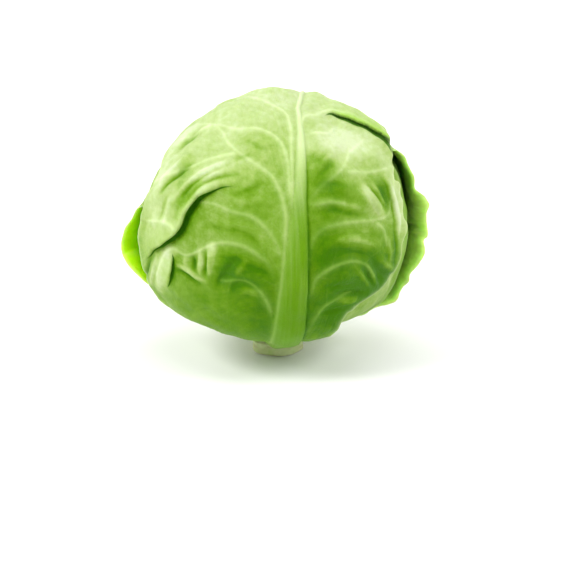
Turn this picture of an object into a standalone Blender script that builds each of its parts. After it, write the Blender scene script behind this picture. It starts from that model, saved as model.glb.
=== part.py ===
"""A head of white cabbage standing on its cut stalk, in metres, +Z up, its front towards -Y.

The origin is the middle of the stalk's cut face, on the surface that the head stands on. The head is a ball
of tightly packed inner leaves, the heart, with five wrapper leaves laid over it one after another. Each
wrapper leaf is a thin closed blade that follows the head, with its midrib and main veins raised on the
outside, folds where the blade has to gather, and a waved margin that curls away from the head.

A place on a leaf is given as two arcs on the head, in degrees, from the leaf's middle: across, positive to
the right of the midrib seen from outside, and along, positive towards the tip. The stalk is at along -90.
"""

import math
import random

import bpy
import numpy as np

# Driving dimensions
HEART_RADIUS = 0.0775
CENTRE_HEIGHT = 0.0830
TOP_FLATTENING = 0.045
BASE_FLATTENING = 0.19
BLADE = 0.0012
LAYER = 0.0027
GAP = 0.0004

# The stalk: a round stump with shallow flutes, and a neck that narrows up to the heart
STALK_RADIUS = 0.0165
STALK_NECK_RADIUS = 0.0125
STALK_TOP_RADIUS = 0.0105
STALK_SHOULDER_HEIGHT = 0.0075
STALK_NECK_RISE = 0.0025
STALK_BEVEL = 0.0008
STALK_SIDES = 28
STALK_FLUTES = 5
STALK_FLUTE_DEPTH = 0.03

# Broad lumps of the head: azimuth and elevation in degrees, height, and how far each spreads (1 - cosine)
LUMPS = (
    (-84, 38, -0.0020, 0.12),
    (75, 25, 0.0026, 0.12),
    (-85, -12, 0.0034, 0.08),
    (20, -5, 0.0022, 0.15),
    (170, 20, 0.0030, 0.15),
    (120, -25, 0.0012, 0.10),
    (-165, 68, -0.0060, 0.06),
    (112, 48, 0.0050, 0.09),
    (-125, 50, -0.0024, 0.05),
    (-60, 68, 0.0024, 0.05),
    (60, 70, -0.0028, 0.05),
)
UNDULATION = 0.0005
UNDULATION_LENGTH = 0.046
WAVES = 14

# Squares along each side of a blade's grid, and how much they crowd towards the midrib
SQUARES = {"leaf_under_left": 16, "leaf_under_right": 16, "leaf_left": 25, "leaf_right": 25, "leaf_front": 42}
CROWDING = 1.15

# The midrib and the veins: how far they reach on each side, and how far they stand out
RIB_BASE_HEIGHT = 0.0040
RIB_TIP_HEIGHT = 0.0009
RIB_TAPER = 1.5
RIB_EDGE = ((-90, 0.0120), (-14, 0.0070), (2, 0.0055), (12, 0.0043), (25, 0.0031), (45, 0.0022), (60, 0.0015),
            (100, 0.0009))
RIB_SLOPE = (0.3, 1.5)
VEIN_HALF_WIDTH = 0.0032
VEIN_HEIGHT = 0.0012
VEIN_TAPER = 0.7
PILLOW_HEIGHT = 0.0010
PILLOW_REACH = 0.0070
CREASE_HALF_WIDTH = 0.0060
CREASE_START = 0.15

# How deep a blade may sink, how much relief is left under another leaf, how far beyond that leaf's margin
# the relief comes back, and where a leaf lies fully on top of one beneath it
DEEPEST = -0.0010
COVERED_RELIEF = 0.2
FREE_FROM = 0.0020
RISE_TO = 0.002

# The margins: small waves in the outline, in degrees of arc, and ruffles of the curl, as shares of each
# leaf's own. The outline is blurred a little, and the grid inside it follows a rounder one, up to close to
# the margin
MARGIN_WAVES = ((11, 0.7), (19, 0.6), (31, 0.4))
RUFFLE_WAVES = ((7, 0.4), (13, 0.6), (21, 0.5))
FREE_CURL = 12.0
OUTLINE_BLUR = 1.3
ROUND_BLUR = 9.0
EDGE_HOLD = 3

# Veins of the other leaves, in degrees: where the first one leaves the midrib, how far apart they are, how
# long a step along one is, and the heading at the start and the bend at each step, from least to most
GROWN_VEINS = 12
GROWN_START = 3.0
GROWN_FIRST = -44.0
GROWN_SPACING = 11.0
GROWN_SHIFT = 3.0
GROWN_STEPS = 7
GROWN_STEP = 9.0
GROWN_HEADING = (26, 34)
GROWN_BEND = (5, 12)
GROWN_RISE = 0.3

LEAVES = {
    "leaf_under_left": {
        "azimuth": -70,
        "rise": 0.030,
        "lift": 0.0,
        "outline": ((0, 88), (30, 88), (60, 86), (90, 84), (120, 86), (150, 86), (180, 86), (210, 86),
                    (235, 82), (255, 79), (270, 78), (285, 79), (305, 83), (330, 87)),
        "curl_length": 0.010,
        "curl": ((0, 0), (90, 0), (180, 0), (270, 0)),
        "wave": 1.0,
        "ruffle": 0,
        "rib": 0.6,
        "midrib": ((0, -90), (1, -40), (-1, 10), (1, 60), (2, 100)),
        "seed": 3,
    },
    "leaf_under_right": {
        "azimuth": 78,
        "rise": 0.030,
        "lift": 0.0,
        "outline": ((0, 86), (30, 88), (60, 88), (90, 85), (120, 88), (150, 89), (180, 89), (210, 87),
                    (235, 83), (255, 79), (270, 78), (285, 79), (305, 84), (330, 86)),
        "curl_length": 0.010,
        "curl": ((0, 0), (90, 0), (180, 0), (270, 0)),
        "wave": 1.0,
        "ruffle": 0,
        "rib": 0.6,
        "midrib": ((0, -90), (-2, -40), (1, 10), (0, 60), (-2, 100)),
        "seed": 5,
    },
    "leaf_left": {
        "azimuth": -140,
        "rise": 0.014,
        "lift": 0.0,
        "outline": ((0, 58), (8, 61), (14, 67), (20, 73), (26, 78), (32, 81), (45, 86), (60, 89), (90, 91),
                    (110, 91), (135, 89), (160, 87), (180, 85), (200, 84), (220, 82), (240, 79), (255, 78),
                    (270, 78), (285, 77), (298, 74), (312, 72), (325, 70), (335, 66), (343, 62), (352, 59)),
        "curl_length": 0.021,
        "curl": ((0, 62), (4, 48), (8, 36), (13, 32), (19, 26), (26, 16), (34, 8), (50, 0), (120, 8),
                 (180, 20), (230, 6), (270, 0), (300, 4), (325, 8), (338, 10), (342, 14), (346, 40),
                 (350, 100), (355, 90)),
        "wave": 0.8,
        "ruffle": 5,
        "rib": 0.9,
        "midrib": ((0, -90), (2, -40), (-2, 10), (0, 60), (3, 100)),
        "seed": 8,
    },
    "leaf_right": {
        "azimuth": 150,
        "rise": 0.007,
        "lift": 0.0,
        "outline": ((0, 87), (20, 89), (45, 91), (70, 92), (90, 92), (105, 91), (113, 88), (121, 85),
                    (127, 82), (134, 79), (141, 77), (148, 75), (155, 73), (161, 71), (167, 69), (172, 69),
                    (176, 67), (179, 62), (182, 66), (186, 68), (195, 67), (210, 68), (225, 70), (240, 74),
                    (252, 77), (262, 78), (270, 78), (282, 79), (300, 81), (320, 84), (340, 86)),
        "curl_length": 0.017,
        "curl": ((0, 26), (30, 22), (52, 6), (70, 0), (110, 0), (116, 16), (122, 36), (132, 42), (142, 34),
                 (154, 32), (160, 42), (165, 58), (170, 112), (175, 104), (179, 62), (184, 104), (190, 84),
                 (198, 52), (208, 50), (230, 30), (250, 6), (270, 0), (290, 6), (320, 24), (340, 26)),
        "wave": 0.8,
        "ruffle": 8,
        "rib": 1.0,
        "midrib": ((0, -90), (-2, -40), (0, 10), (2, 60), (0, 100)),
        "seed": 13,
    },
    "leaf_front": {
        "azimuth": 9,
        "rise": 0.010,
        "lift": 0.0013,
        "outline": ((0, 51), (4, 54), (8, 56), (14, 54), (18, 57), (22, 61), (28, 62), (31, 57), (34, 65),
                    (37, 70), (41, 76), (48, 84), (56, 90), (67, 93), (73, 97), (80, 101), (90, 105),
                    (105, 106), (120, 104), (135, 100), (143, 95), (148, 86), (152, 80), (158, 81),
                    (166, 83), (174, 84), (182, 84), (188, 83), (195, 82), (202, 81), (208, 79), (213, 73),
                    (217, 63), (224, 58), (234, 56), (246, 62), (256, 71), (263, 77), (270, 78), (277, 76),
                    (282, 66), (287, 53), (294, 40), (302, 33), (312, 31), (322, 34), (332, 40), (340, 45),
                    (350, 49)),
        "curl_length": 0.012,
        "curl": ((0, 12), (20, 8), (32, 6), (38, 8), (48, 6), (62, 0), (80, 4), (95, 10), (110, 6),
                 (140, 6), (165, 6), (180, 4), (190, 10), (205, 4), (225, 10), (250, 4), (270, 0), (285, 6),
                 (300, 20), (320, 12), (340, 12)),
        "wave": 0.4,
        "ruffle": 8,
        "rib": 1.0,
        "midrib": ((-3, -90), (-4, -50), (-3, -14), (-2.2, 2), (-1, 12), (0.2, 25), (2, 37), (3.5, 46),
                   (6, 60), (9, 75), (15, 87), (24, 100)),
        "seed": 21,
    },
}

# The front leaf's main veins: (across, along) points from the midrib outwards, and over which share of its
# length the vein comes up
FRONT_VEINS = (
    (((-3, 20), (-2, 29), (-0.5, 45), (1, 56), (1.5, 63), (0.5, 69), (-3, 73), (-8, 77), (-14, 81), (-20, 87),
      (-27, 92)), 0.1),
    (((-3.5, 22), (-2.5, 35), (-3, 44), (-5, 51), (-9, 56), (-15, 59), (-24, 60), (-32, 63), (-43, 67),
      (-54, 72)), 0.1),
    (((-6, 0), (-5.5, 10), (-5, 18), (-6, 26), (-9, 34), (-13, 38), (-18, 42), (-25, 48), (-30, 54),
      (-33, 60), (-38, 65), (-46, 69)), 0.2),
    (((-38, 65), (-45, 64), (-53, 62), (-64, 62)), 0.1),
    (((-22, 46), (-29, 46), (-37, 45), (-45, 42), (-55, 39), (-66, 35), (-78, 32)), 0.1),
    (((-6, -3), (-8, 7), (-12, 14), (-18, 19), (-26, 21), (-34, 24), (-42, 25)), 0.5),
    (((-8, -12), (-11, 0), (-16, 5), (-22, 8), (-30, 8.5), (-37, 6), (-42, 3), (-48, 0), (-52, 0.5),
      (-56, 1.5), (-60, -1), (-63, -7), (-67, -16)), 0.4),
    (((-9, -30), (-12, -15), (-17, -8), (-23, -6), (-31, -8)), 0.5),
    (((3, 40), (4, 49), (6, 58), (9, 65), (14, 70), (22, 72), (32, 74), (42, 70), (50, 62)), 0.1),
    (((6, 55), (14, 56), (21, 57), (27, 62)), 0.4),
    (((3, 14), (5, 24), (9, 29), (15, 33), (21, 37), (25, 41), (28, 45), (33, 48), (42, 53)), 0.6),
    (((20, 35.5), (25, 35.5), (35, 35), (48, 36)), 0.2),
    (((3, -5), (4, 7), (8, 13), (16, 15), (25, 15), (33, 14.5), (40, 15), (45, 18), (49, 26), (51, 32)), 0.5),
    (((33, 14), (38, 10), (40, 3)), 0.2),
    (((-53, 12), (-58, 14.5), (-66, 13.5), (-78, 11)), 0.1),
    (((3, -18), (5, -7), (8, -3), (14, -0.5), (21, 0), (28, -3), (33, -9)), 0.5),
    (((3, -34), (8, -20), (14, -15), (22, -14)), 0.6),
)

# Folds of the front leaf: points, and how far each stands out or, below 0, sinks in
FRONT_CREASES = (
    (((-24, 41), (-33, 39), (-42, 35), (-49, 29)), 0.0012),
    (((38, 30), (43, 23), (46, 16)), -0.0020),
    (((30, 31), (35, 22), (40, 15)), 0.0014),
    (((6, 45), (12, 41), (20, 42)), -0.0008),
    (((-46, 64), (-56, 58), (-64, 50)), -0.0012),
    (((-50, 72), (-60, 66), (-70, 58)), 0.0010),
    (((-34, 9), (-36, 0), (-37, -8)), 0.0012),
    (((-57, 6), (-61, -6), (-64, -16), (-68, -28)), 0.0016),
    (((14, -15), (20, -16), (28, -18)), 0.0012),
)

# The deep folds of the front leaf: points, height, how far the blade beyond stays raised, and the shares of
# the length over which the fold grows and ends. The blade on the right of the points, as they run, laps over
FRONT_LAPS = (
    (((-23, 30.5), (-30, 30.5), (-36, 28.5), (-41.5, 25.5), (-45, 20.5), (-48, 14.5), (-51.5, 9.5),
      (-56, 5.5), (-62, 1), (-67, -2), (-72, -7), (-78, -13)), 0.0064, 0.014, 0.3, 0.4),
    (((-56, 1), (-54.5, -3), (-54.5, -8), (-56, -13), (-58, -19), (-61, -26)), 0.0034, 0.006, 0.25, 0.5),
    (((54, 36), (53, 42), (51, 49), (46, 55), (39, 60), (33, 64), (28, 66), (21, 65)),
     0.0060, 0.009, 0.05, 0.25),
)
LAP_SINK = 0.3
LAP_SOFTNESS = 0.0022

# Leaves whose margins show as low steps on the heart: azimuth, and arc from middle to margin
HEART_LEAVES = ((30, 78), (165, 84), (280, 80))
HEART_STEP = 0.0012
HEART_STEP_ARC = 4
HEART_RINGS = 22
HEART_SPOKES = 36
HEART_BASE_ARC = 166

COLOURS = {
    "stalk": ((0.80, 0.84, 0.60, 1.0), 0.55),
    "heart": ((0.60, 0.74, 0.30, 1.0), 0.45),
    "leaf_under_left": ((0.32, 0.56, 0.08, 1.0), 0.42),
    "leaf_under_right": ((0.30, 0.54, 0.07, 1.0), 0.42),
    "leaf_left": ((0.28, 0.52, 0.05, 1.0), 0.40),
    "leaf_right": ((0.27, 0.50, 0.05, 1.0), 0.40),
    "leaf_front": ((0.34, 0.58, 0.10, 1.0), 0.40),
}


def clear_scene():
    for item in list(bpy.data.objects):
        bpy.data.objects.remove(item)


def smooth_between(low, high, value):
    share = np.clip((value - low) / (high - low), 0.0, 1.0)
    return share * share * (3.0 - 2.0 * share)


def unit_vector(azimuth, elevation):
    """The direction at an azimuth, from -Y towards +X, and an elevation, both in degrees."""
    a, e = math.radians(azimuth), math.radians(elevation)
    return np.array([math.sin(a) * math.cos(e), -math.cos(a) * math.cos(e), math.sin(e)])


def leaf_axes(azimuth):
    """Outward, right and up at a leaf's middle, which is on the head's equator."""
    a = math.radians(azimuth)
    return unit_vector(azimuth, 0), np.array([math.cos(a), math.sin(a), 0.0]), np.array([0.0, 0.0, 1.0])


def direction_at(azimuth, across, along):
    """Directions from the head's centre to places on a leaf. The arcs are in radians."""
    outward, right, up = leaf_axes(azimuth)
    arc = np.hypot(across, along)
    share = np.sinc(arc / math.pi)
    return (np.cos(arc)[..., None] * outward + (across * share)[..., None] * right
            + (along * share)[..., None] * up)


def place_on_leaf(azimuth, direction):
    """The reverse of direction_at: the arc from the leaf's middle, and the angle round it in degrees."""
    outward, right, up = leaf_axes(azimuth)
    arc = np.arccos(np.clip(direction @ outward, -1.0, 1.0))
    angle = np.degrees(np.arctan2(direction @ up, direction @ right))
    return arc, angle


def undulation(direction):
    """Soft waves shared by every layer, so that the leaves bulge and sink together."""
    draw = np.random.default_rng(7)
    total = np.zeros(direction.shape[:-1])
    for _ in range(WAVES):
        heading = draw.normal(size=3)
        heading *= 2.0 * math.pi * HEART_RADIUS / UNDULATION_LENGTH / np.linalg.norm(heading)
        total += np.sin(direction @ heading + draw.uniform(0, 2.0 * math.pi))
    return UNDULATION * total * math.sqrt(2.0 / WAVES)


def heart_radius(direction):
    """The ball under the wrapper leaves, flattened a little on top and more round the stalk."""
    up = direction[..., 2]
    flat = TOP_FLATTENING * smooth_between(0.4, 1.0, up) + BASE_FLATTENING * smooth_between(0.45, 1.0, -up)
    radius = HEART_RADIUS * (1.0 - flat) + undulation(direction)
    for azimuth, elevation, height, spread in LUMPS:
        radius += height * np.exp((direction @ unit_vector(azimuth, elevation) - 1.0) / spread)
    return radius


def round_table(points, blur):
    """A value at every degree round a leaf, read between (angle, value) points and blurred smooth."""
    angles, values = zip(*points)
    table = np.interp(np.arange(360.0), angles, values, period=360.0)
    reach = math.ceil(3 * blur)
    weights = np.exp(-0.5 * (np.arange(-reach, reach + 1) / blur) ** 2)
    padded = np.take(table, np.arange(-reach, 360 + reach), mode="wrap")
    return np.convolve(padded, weights / weights.sum(), mode="valid")


def read_table(table, angle):
    return np.interp(angle, np.arange(360.0), table, period=360.0)


def outline_of(leaf):
    """The arc from the leaf's middle to its margin at every degree, and the margin's slant, in radians."""
    draw = random.Random(leaf["seed"])
    degrees = round_table(leaf["outline"], OUTLINE_BLUR)
    for waves, height in MARGIN_WAVES:
        start = draw.uniform(0, 2.0 * math.pi)
        degrees += leaf["wave"] * height * np.sin(np.radians(waves * np.arange(360.0)) + start)
    arc = np.radians(degrees)
    change = (np.roll(arc, -1) - np.roll(arc, 1)) / math.radians(2.0)
    return arc, np.arctan2(change, arc)


def cover(leaf, direction, near, far):
    """1 where a leaf reaches this direction, falling to 0 between two distances outside its margin."""
    arc, angle = place_on_leaf(leaf["azimuth"], direction)
    margin, slant = outline_of(leaf)
    outside = (arc - read_table(margin, angle)) * np.cos(read_table(slant, angle)) * HEART_RADIUS
    return 1.0 - smooth_between(near, far, outside)


def near_line(across, along, points):
    """For each place, its distance to a line of points in metres, the share of the line, and which side."""
    line = np.radians(np.array(points, float)) * HEART_RADIUS
    lengths = np.linalg.norm(np.diff(line, axis=0), axis=1)
    starts = np.concatenate([[0.0], np.cumsum(lengths)[:-1]])
    best = np.full(across.shape, 1e9)
    share = np.zeros(across.shape)
    side = np.zeros(across.shape)
    for start, end, length, before in zip(line[:-1], line[1:], lengths, starts):
        run = (end - start) / length
        dx, dy = across * HEART_RADIUS - start[0], along * HEART_RADIUS - start[1]
        t = np.clip(dx * run[0] + dy * run[1], 0.0, length)
        distance = np.hypot(dx - t * run[0], dy - t * run[1])
        nearer = distance < best
        best = np.where(nearer, distance, best)
        share = np.where(nearer, (before + t) / lengths.sum(), share)
        side = np.where(nearer, np.sign(dx * run[1] - dy * run[0]), side)
    return best, share, side


def grown_veins(seed):
    """Main veins that leave the midrib in turn on the left and the right and bend out towards the margin."""
    draw = random.Random(seed)
    veins = []
    for number in range(GROWN_VEINS):
        side = -1 if number % 2 else 1
        x = side * GROWN_START
        y = GROWN_FIRST + GROWN_SPACING * number + draw.uniform(-GROWN_SHIFT, GROWN_SHIFT)
        heading = draw.uniform(*GROWN_HEADING)
        vein = [(x, y)]
        for _ in range(GROWN_STEPS):
            x += side * GROWN_STEP * math.sin(math.radians(heading))
            y += GROWN_STEP * math.cos(math.radians(heading))
            heading += draw.uniform(*GROWN_BEND)
            vein.append((x, y))
        veins.append((tuple(vein), GROWN_RISE))
    return tuple(veins)


def vein_height(across, along, leaf, veins):
    """The raised midrib and veins, lower towards their ends, and the blade's soft bulges between them."""
    off_rib, up_leaf, _ = near_line(across, along, leaf["midrib"])
    edge = np.interp(np.degrees(along), *zip(*RIB_EDGE))
    rib = RIB_BASE_HEIGHT * (1.0 - up_leaf) ** RIB_TAPER + RIB_TIP_HEIGHT
    height = rib * (1.0 - smooth_between(*RIB_SLOPE, off_rib / edge))
    nearest = np.maximum(off_rib - edge, 0.0)
    for points, rise in veins:
        distance, share, _ = near_line(across, along, points)
        fade = (1.0 - VEIN_TAPER * share) * smooth_between(0.0, rise, share)
        height = np.maximum(height, VEIN_HEIGHT * fade * np.exp(-((distance / VEIN_HALF_WIDTH) ** 2)))
        nearest = np.minimum(nearest, distance)
    pillow = PILLOW_HEIGHT * (1.0 - np.exp(-((nearest / PILLOW_REACH) ** 2)))
    return (height + pillow) * leaf["rib"]


def crease_height(across, along, creases):
    total = np.zeros(across.shape)
    for points, height in creases:
        distance, share, _ = near_line(across, along, points)
        fade = np.sin(math.pi * (CREASE_START + (1.0 - 2.0 * CREASE_START) * share))
        total += height * fade * np.exp(-((distance / CREASE_HALF_WIDTH) ** 2))
    return total


def lap_height(across, along, laps):
    """The steps at deep folds: each grows along the fold, high on the lapping side and low on the other."""
    total = np.zeros(across.shape)
    for points, rise, reach, growth, ending in laps:
        distance, share, side = near_line(across, along, points)
        grown = smooth_between(0.0, growth, share) * smooth_between(0.0, ending, 1.0 - share)
        lapping = smooth_between(-LAP_SOFTNESS, LAP_SOFTNESS, distance * side)
        step = (1.0 - LAP_SINK) * lapping - LAP_SINK * (1.0 - lapping)
        total += rise * grown * np.exp(-distance / reach) * step
    return total


def soft_floor(height, floor, softness=0.0004):
    return floor + softness * np.logaddexp(0.0, (height - floor) / softness)


def curled(inside, length, angle):
    """How far a margin that bends by an angle over its last length stands off, and how far it draws in."""
    along_bend = np.clip(length - inside, 0.0, length)
    angle = np.where(np.abs(angle) < 1e-3, 1e-3, angle)
    bend = angle * along_bend / length
    return length / angle * (1.0 - np.cos(bend)), along_bend - length / angle * np.sin(bend)


def curl_angle(leaf, angle):
    """The curl at the margin in radians, with ruffles, which come only where the margin is free to curl."""
    curl = read_table(round_table(leaf["curl"], 2 * OUTLINE_BLUR), angle)
    draw = random.Random(leaf["seed"])
    turn = np.radians(angle)
    ruffle = np.zeros(angle.shape)
    for waves, weight in RUFFLE_WAVES:
        ruffle += weight * np.sin(waves * turn + draw.uniform(0, 2.0 * math.pi))
    free = np.clip(curl / FREE_CURL, 0.0, 1.0)
    return np.radians(curl + leaf["ruffle"] * ruffle * free)


def disc_grid(squares):
    """A square grid spread over a disc: the angle round it in degrees, and the share of the way out."""
    steps = np.linspace(-1.0, 1.0, squares + 1)
    steps = np.sign(steps) * np.abs(steps) ** CROWDING
    a, b = np.meshgrid(steps, steps)
    wide = np.abs(a) >= np.abs(b)
    share = np.where(wide, np.abs(a), np.abs(b))
    safe = np.maximum(share, 1e-9)
    across_turn = np.where(a >= 0, 45.0 * b / safe, 180.0 - 45.0 * b / safe)
    along_turn = np.where(b >= 0, 90.0 - 45.0 * a / safe, 270.0 + 45.0 * a / safe)
    return np.where(wide, across_turn, along_turn), share


def names_before(name):
    return list(LEAVES)[:list(LEAVES).index(name)]


def names_after(name):
    return list(LEAVES)[list(LEAVES).index(name) + 1:]


def leaf_surface(name, squares):
    """The middle of a blade's thickness at every point of its grid."""
    leaf = LEAVES[name]
    angle, share = disc_grid(squares)
    margin, slant = outline_of(leaf)
    edge = read_table(margin, angle)
    lean = read_table(slant, angle)
    turn = np.radians(angle)
    round_edge = np.radians(read_table(round_table(leaf["outline"], ROUND_BLUR), angle))
    arc = round_edge * share + (edge - round_edge) * share ** EDGE_HOLD
    across, along = arc * np.cos(turn), arc * np.sin(turn)
    direction = direction_at(leaf["azimuth"], across, along)
    free = np.ones(angle.shape)
    for other in names_after(name):
        free *= 1.0 - cover(LEAVES[other], direction, -0.001, FREE_FROM)
    inside = (edge - arc) * np.cos(lean) * HEART_RADIUS
    stand_off, draw_in = curled(inside, leaf["curl_length"], curl_angle(leaf, angle) * free)
    across -= draw_in / HEART_RADIUS * np.cos(turn - lean)
    along -= draw_in / HEART_RADIUS * np.sin(turn - lean)
    front = name == "leaf_front"
    relief = vein_height(across, along, leaf, FRONT_VEINS if front else grown_veins(leaf["seed"]))
    if front:
        relief += crease_height(across, along, FRONT_CREASES) + lap_height(across, along, FRONT_LAPS)
    relief = soft_floor(leaf["lift"] + relief, DEEPEST) * (COVERED_RELIEF + (1.0 - COVERED_RELIEF) * free)
    direction = direction_at(leaf["azimuth"], across, along)
    radius = heart_radius(direction) + LAYER + relief + stand_off
    for other in names_before(name):
        radius += LAYER * cover(LEAVES[other], direction, RISE_TO, LEAVES[other]["rise"])
    return direction * radius[..., None] + np.array([0.0, 0.0, CENTRE_HEIGHT])


def grid_normals(points):
    down = np.gradient(points, axis=0)
    across = np.gradient(points, axis=1)
    normals = np.cross(across, down)
    return normals / np.linalg.norm(normals, axis=-1, keepdims=True)


def blade_mesh(points, thickness):
    """A closed blade: outer and inner faces, cut into triangles alike, and the strip round its margin."""
    normals = grid_normals(points) * (thickness / 2.0)
    rows, columns = points.shape[:2]
    vertices = np.concatenate([(points + normals).reshape(-1, 3), (points - normals).reshape(-1, 3)])
    number = np.arange(rows * columns).reshape(rows, columns)
    a, b = number[:-1, :-1].ravel(), number[:-1, 1:].ravel()
    c, d = number[1:, 1:].ravel(), number[1:, :-1].ravel()
    flat = points.reshape(-1, 3)
    shorter = np.linalg.norm(flat[a] - flat[c], axis=1) <= np.linalg.norm(flat[b] - flat[d], axis=1)
    first = np.where(shorter[:, None], np.stack([a, b, c], 1), np.stack([a, b, d], 1))
    second = np.where(shorter[:, None], np.stack([a, c, d], 1), np.stack([b, c, d], 1))
    outer = np.concatenate([first, second])
    inner = outer[:, ::-1] + rows * columns
    rim = np.concatenate([number[0, :-1], number[:-1, -1], number[-1, :0:-1], number[:0:-1, 0]])
    following = np.roll(rim, -1)
    strip = np.concatenate([np.stack([following, rim, rim + rows * columns], 1),
                            np.stack([following, rim + rows * columns, following + rows * columns], 1)])
    return vertices, np.concatenate([outer, inner, strip])


def add_material(item, name):
    colour, roughness = COLOURS[name]
    material = bpy.data.materials.new(name)
    material.use_nodes = True
    shader = material.node_tree.nodes["Principled BSDF"]
    shader.inputs["Base Color"].default_value = colour
    shader.inputs["Roughness"].default_value = roughness
    shader.inputs["Metallic"].default_value = 0.0
    material.diffuse_color = colour
    item.data.materials.append(material)


def add_object(name, vertices, faces):
    mesh = bpy.data.meshes.new(name)
    mesh.from_pydata([tuple(v) for v in vertices], [], [tuple(f) for f in faces])
    mesh.validate()
    mesh.shade_smooth()
    item = bpy.data.objects.new(name, mesh)
    bpy.context.scene.collection.objects.link(item)
    add_material(item, name)
    return item


def heart():
    """The ball of inner leaves, with the margins of its outermost ones as low steps."""
    rings = np.radians(np.linspace(0, HEART_BASE_ARC, HEART_RINGS + 1))[1:]
    spokes = np.linspace(0, 2.0 * math.pi, HEART_SPOKES, endpoint=False)
    polar, turn = np.meshgrid(rings, spokes, indexing="ij")
    ball = np.stack([np.sin(polar) * np.sin(turn), -np.sin(polar) * np.cos(turn), np.cos(polar)], -1)
    ball = np.concatenate([np.array([[0.0, 0.0, 1.0]]), ball.reshape(-1, 3), np.array([[0.0, 0.0, -1.0]])])
    radius = heart_radius(ball)
    for azimuth, reach in HEART_LEAVES:
        arc, _ = place_on_leaf(azimuth, ball)
        radius -= HEART_STEP * smooth_between(math.radians(reach - HEART_STEP_ARC), math.radians(reach), arc)
    vertices = ball * radius[:, None] + np.array([0.0, 0.0, CENTRE_HEIGHT])
    vertices[-1, 2] = vertices[-1 - HEART_SPOKES:-1, 2].mean()
    faces = []
    last = 1 + (HEART_RINGS - 1) * HEART_SPOKES
    for spoke in range(HEART_SPOKES):
        beside = (spoke + 1) % HEART_SPOKES
        faces.append((0, 1 + spoke, 1 + beside))
        faces.append((last + beside, last + spoke, len(vertices) - 1))
        for ring in range(HEART_RINGS - 1):
            upper, lower = 1 + ring * HEART_SPOKES, 1 + (ring + 1) * HEART_SPOKES
            faces.append((upper + spoke, lower + spoke, lower + beside))
            faces.append((upper + spoke, lower + beside, upper + beside))
    return add_object("heart", vertices, faces)


def stalk(top):
    """The cut stump: a flat face to stand on, a straight side, and a neck that narrows up to the heart."""
    profile = (
        (STALK_RADIUS - STALK_BEVEL, 0.0),
        (STALK_RADIUS, STALK_BEVEL),
        (STALK_RADIUS, STALK_SHOULDER_HEIGHT),
        (STALK_NECK_RADIUS, STALK_SHOULDER_HEIGHT + STALK_NECK_RISE),
        (STALK_TOP_RADIUS, top - GAP),
    )
    vertices = []
    for radius, z in profile:
        for side in range(STALK_SIDES):
            turn = 2.0 * math.pi * side / STALK_SIDES
            reach = radius * (1.0 + STALK_FLUTE_DEPTH * math.cos(STALK_FLUTES * turn))
            vertices.append((reach * math.cos(turn), reach * math.sin(turn), z))
    last = (len(profile) - 1) * STALK_SIDES
    faces = [tuple(range(STALK_SIDES))[::-1], tuple(range(last, last + STALK_SIDES))]
    for lower in range(0, last, STALK_SIDES):
        upper = lower + STALK_SIDES
        for side in range(STALK_SIDES):
            beside = (side + 1) % STALK_SIDES
            faces.append((lower + side, lower + beside, upper + beside, upper + side))
    return add_object("stalk", vertices, faces)


def main():
    clear_scene()
    ball = heart()
    stalk(min(vertex.co.z for vertex in ball.data.vertices))
    for name in LEAVES:
        vertices, faces = blade_mesh(leaf_surface(name, SQUARES[name]), BLADE)
        add_object(name, vertices, faces)


main()
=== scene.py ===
"""The looks of a head of white cabbage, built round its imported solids, in metres, +Z up, front towards -Y.

Each wrapper leaf of the solids is made again as a finer and thinner blade that follows the same lines.
Its veins get narrow cores and side veins, the blade gets puckers and streaks, and the front leaf's deep folds
really lap over. The heart and the stalk are made again in the same way. A place on a leaf is given as two
arcs on the head, in degrees, from the leaf's middle: across, positive to the right of the midrib seen from
outside, and along, positive towards the tip. The stalk is at along -90.
"""

import math
import random

import bpy
import numpy as np
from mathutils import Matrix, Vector


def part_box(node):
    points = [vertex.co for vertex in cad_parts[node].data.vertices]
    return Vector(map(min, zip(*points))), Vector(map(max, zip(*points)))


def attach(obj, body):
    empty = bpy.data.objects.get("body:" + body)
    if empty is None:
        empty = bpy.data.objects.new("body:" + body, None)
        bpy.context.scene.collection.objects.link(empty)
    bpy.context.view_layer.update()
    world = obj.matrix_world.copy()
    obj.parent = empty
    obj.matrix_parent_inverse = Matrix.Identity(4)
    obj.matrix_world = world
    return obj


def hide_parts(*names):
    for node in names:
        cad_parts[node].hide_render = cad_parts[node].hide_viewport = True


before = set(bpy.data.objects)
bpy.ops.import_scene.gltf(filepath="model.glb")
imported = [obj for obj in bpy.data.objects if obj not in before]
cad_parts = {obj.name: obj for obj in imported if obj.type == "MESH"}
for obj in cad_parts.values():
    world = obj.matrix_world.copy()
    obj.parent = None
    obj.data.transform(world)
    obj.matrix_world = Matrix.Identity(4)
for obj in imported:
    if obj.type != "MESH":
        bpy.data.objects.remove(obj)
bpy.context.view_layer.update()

# Driving dimensions, as in the part's source
HEART_RADIUS = 0.0775
CENTRE_HEIGHT = 0.0830
TOP_FLATTENING = 0.045
BASE_FLATTENING = 0.19
LAYER = 0.0027
STALK_RADIUS = 0.0165
STALK_NECK_RADIUS = 0.0125
STALK_SHOULDER_HEIGHT = 0.0075

# Broad lumps of the head: azimuth and elevation in degrees, height, and how far each spreads (1 - cosine)
LUMPS = (
    (-84, 38, -0.0020, 0.12),
    (75, 25, 0.0026, 0.12),
    (-85, -12, 0.0034, 0.08),
    (20, -5, 0.0022, 0.15),
    (170, 20, 0.0030, 0.15),
    (120, -25, 0.0012, 0.10),
    (-165, 68, -0.0060, 0.06),
    (112, 48, 0.0050, 0.09),
    (-125, 50, -0.0024, 0.05),
    (-60, 68, 0.0024, 0.05),
    (60, 70, -0.0028, 0.05),
)
UNDULATION = 0.0005
UNDULATION_LENGTH = 0.046
RIPPLE = 0.00018
RIPPLE_LENGTH = 0.011
WAVES = 14

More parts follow.
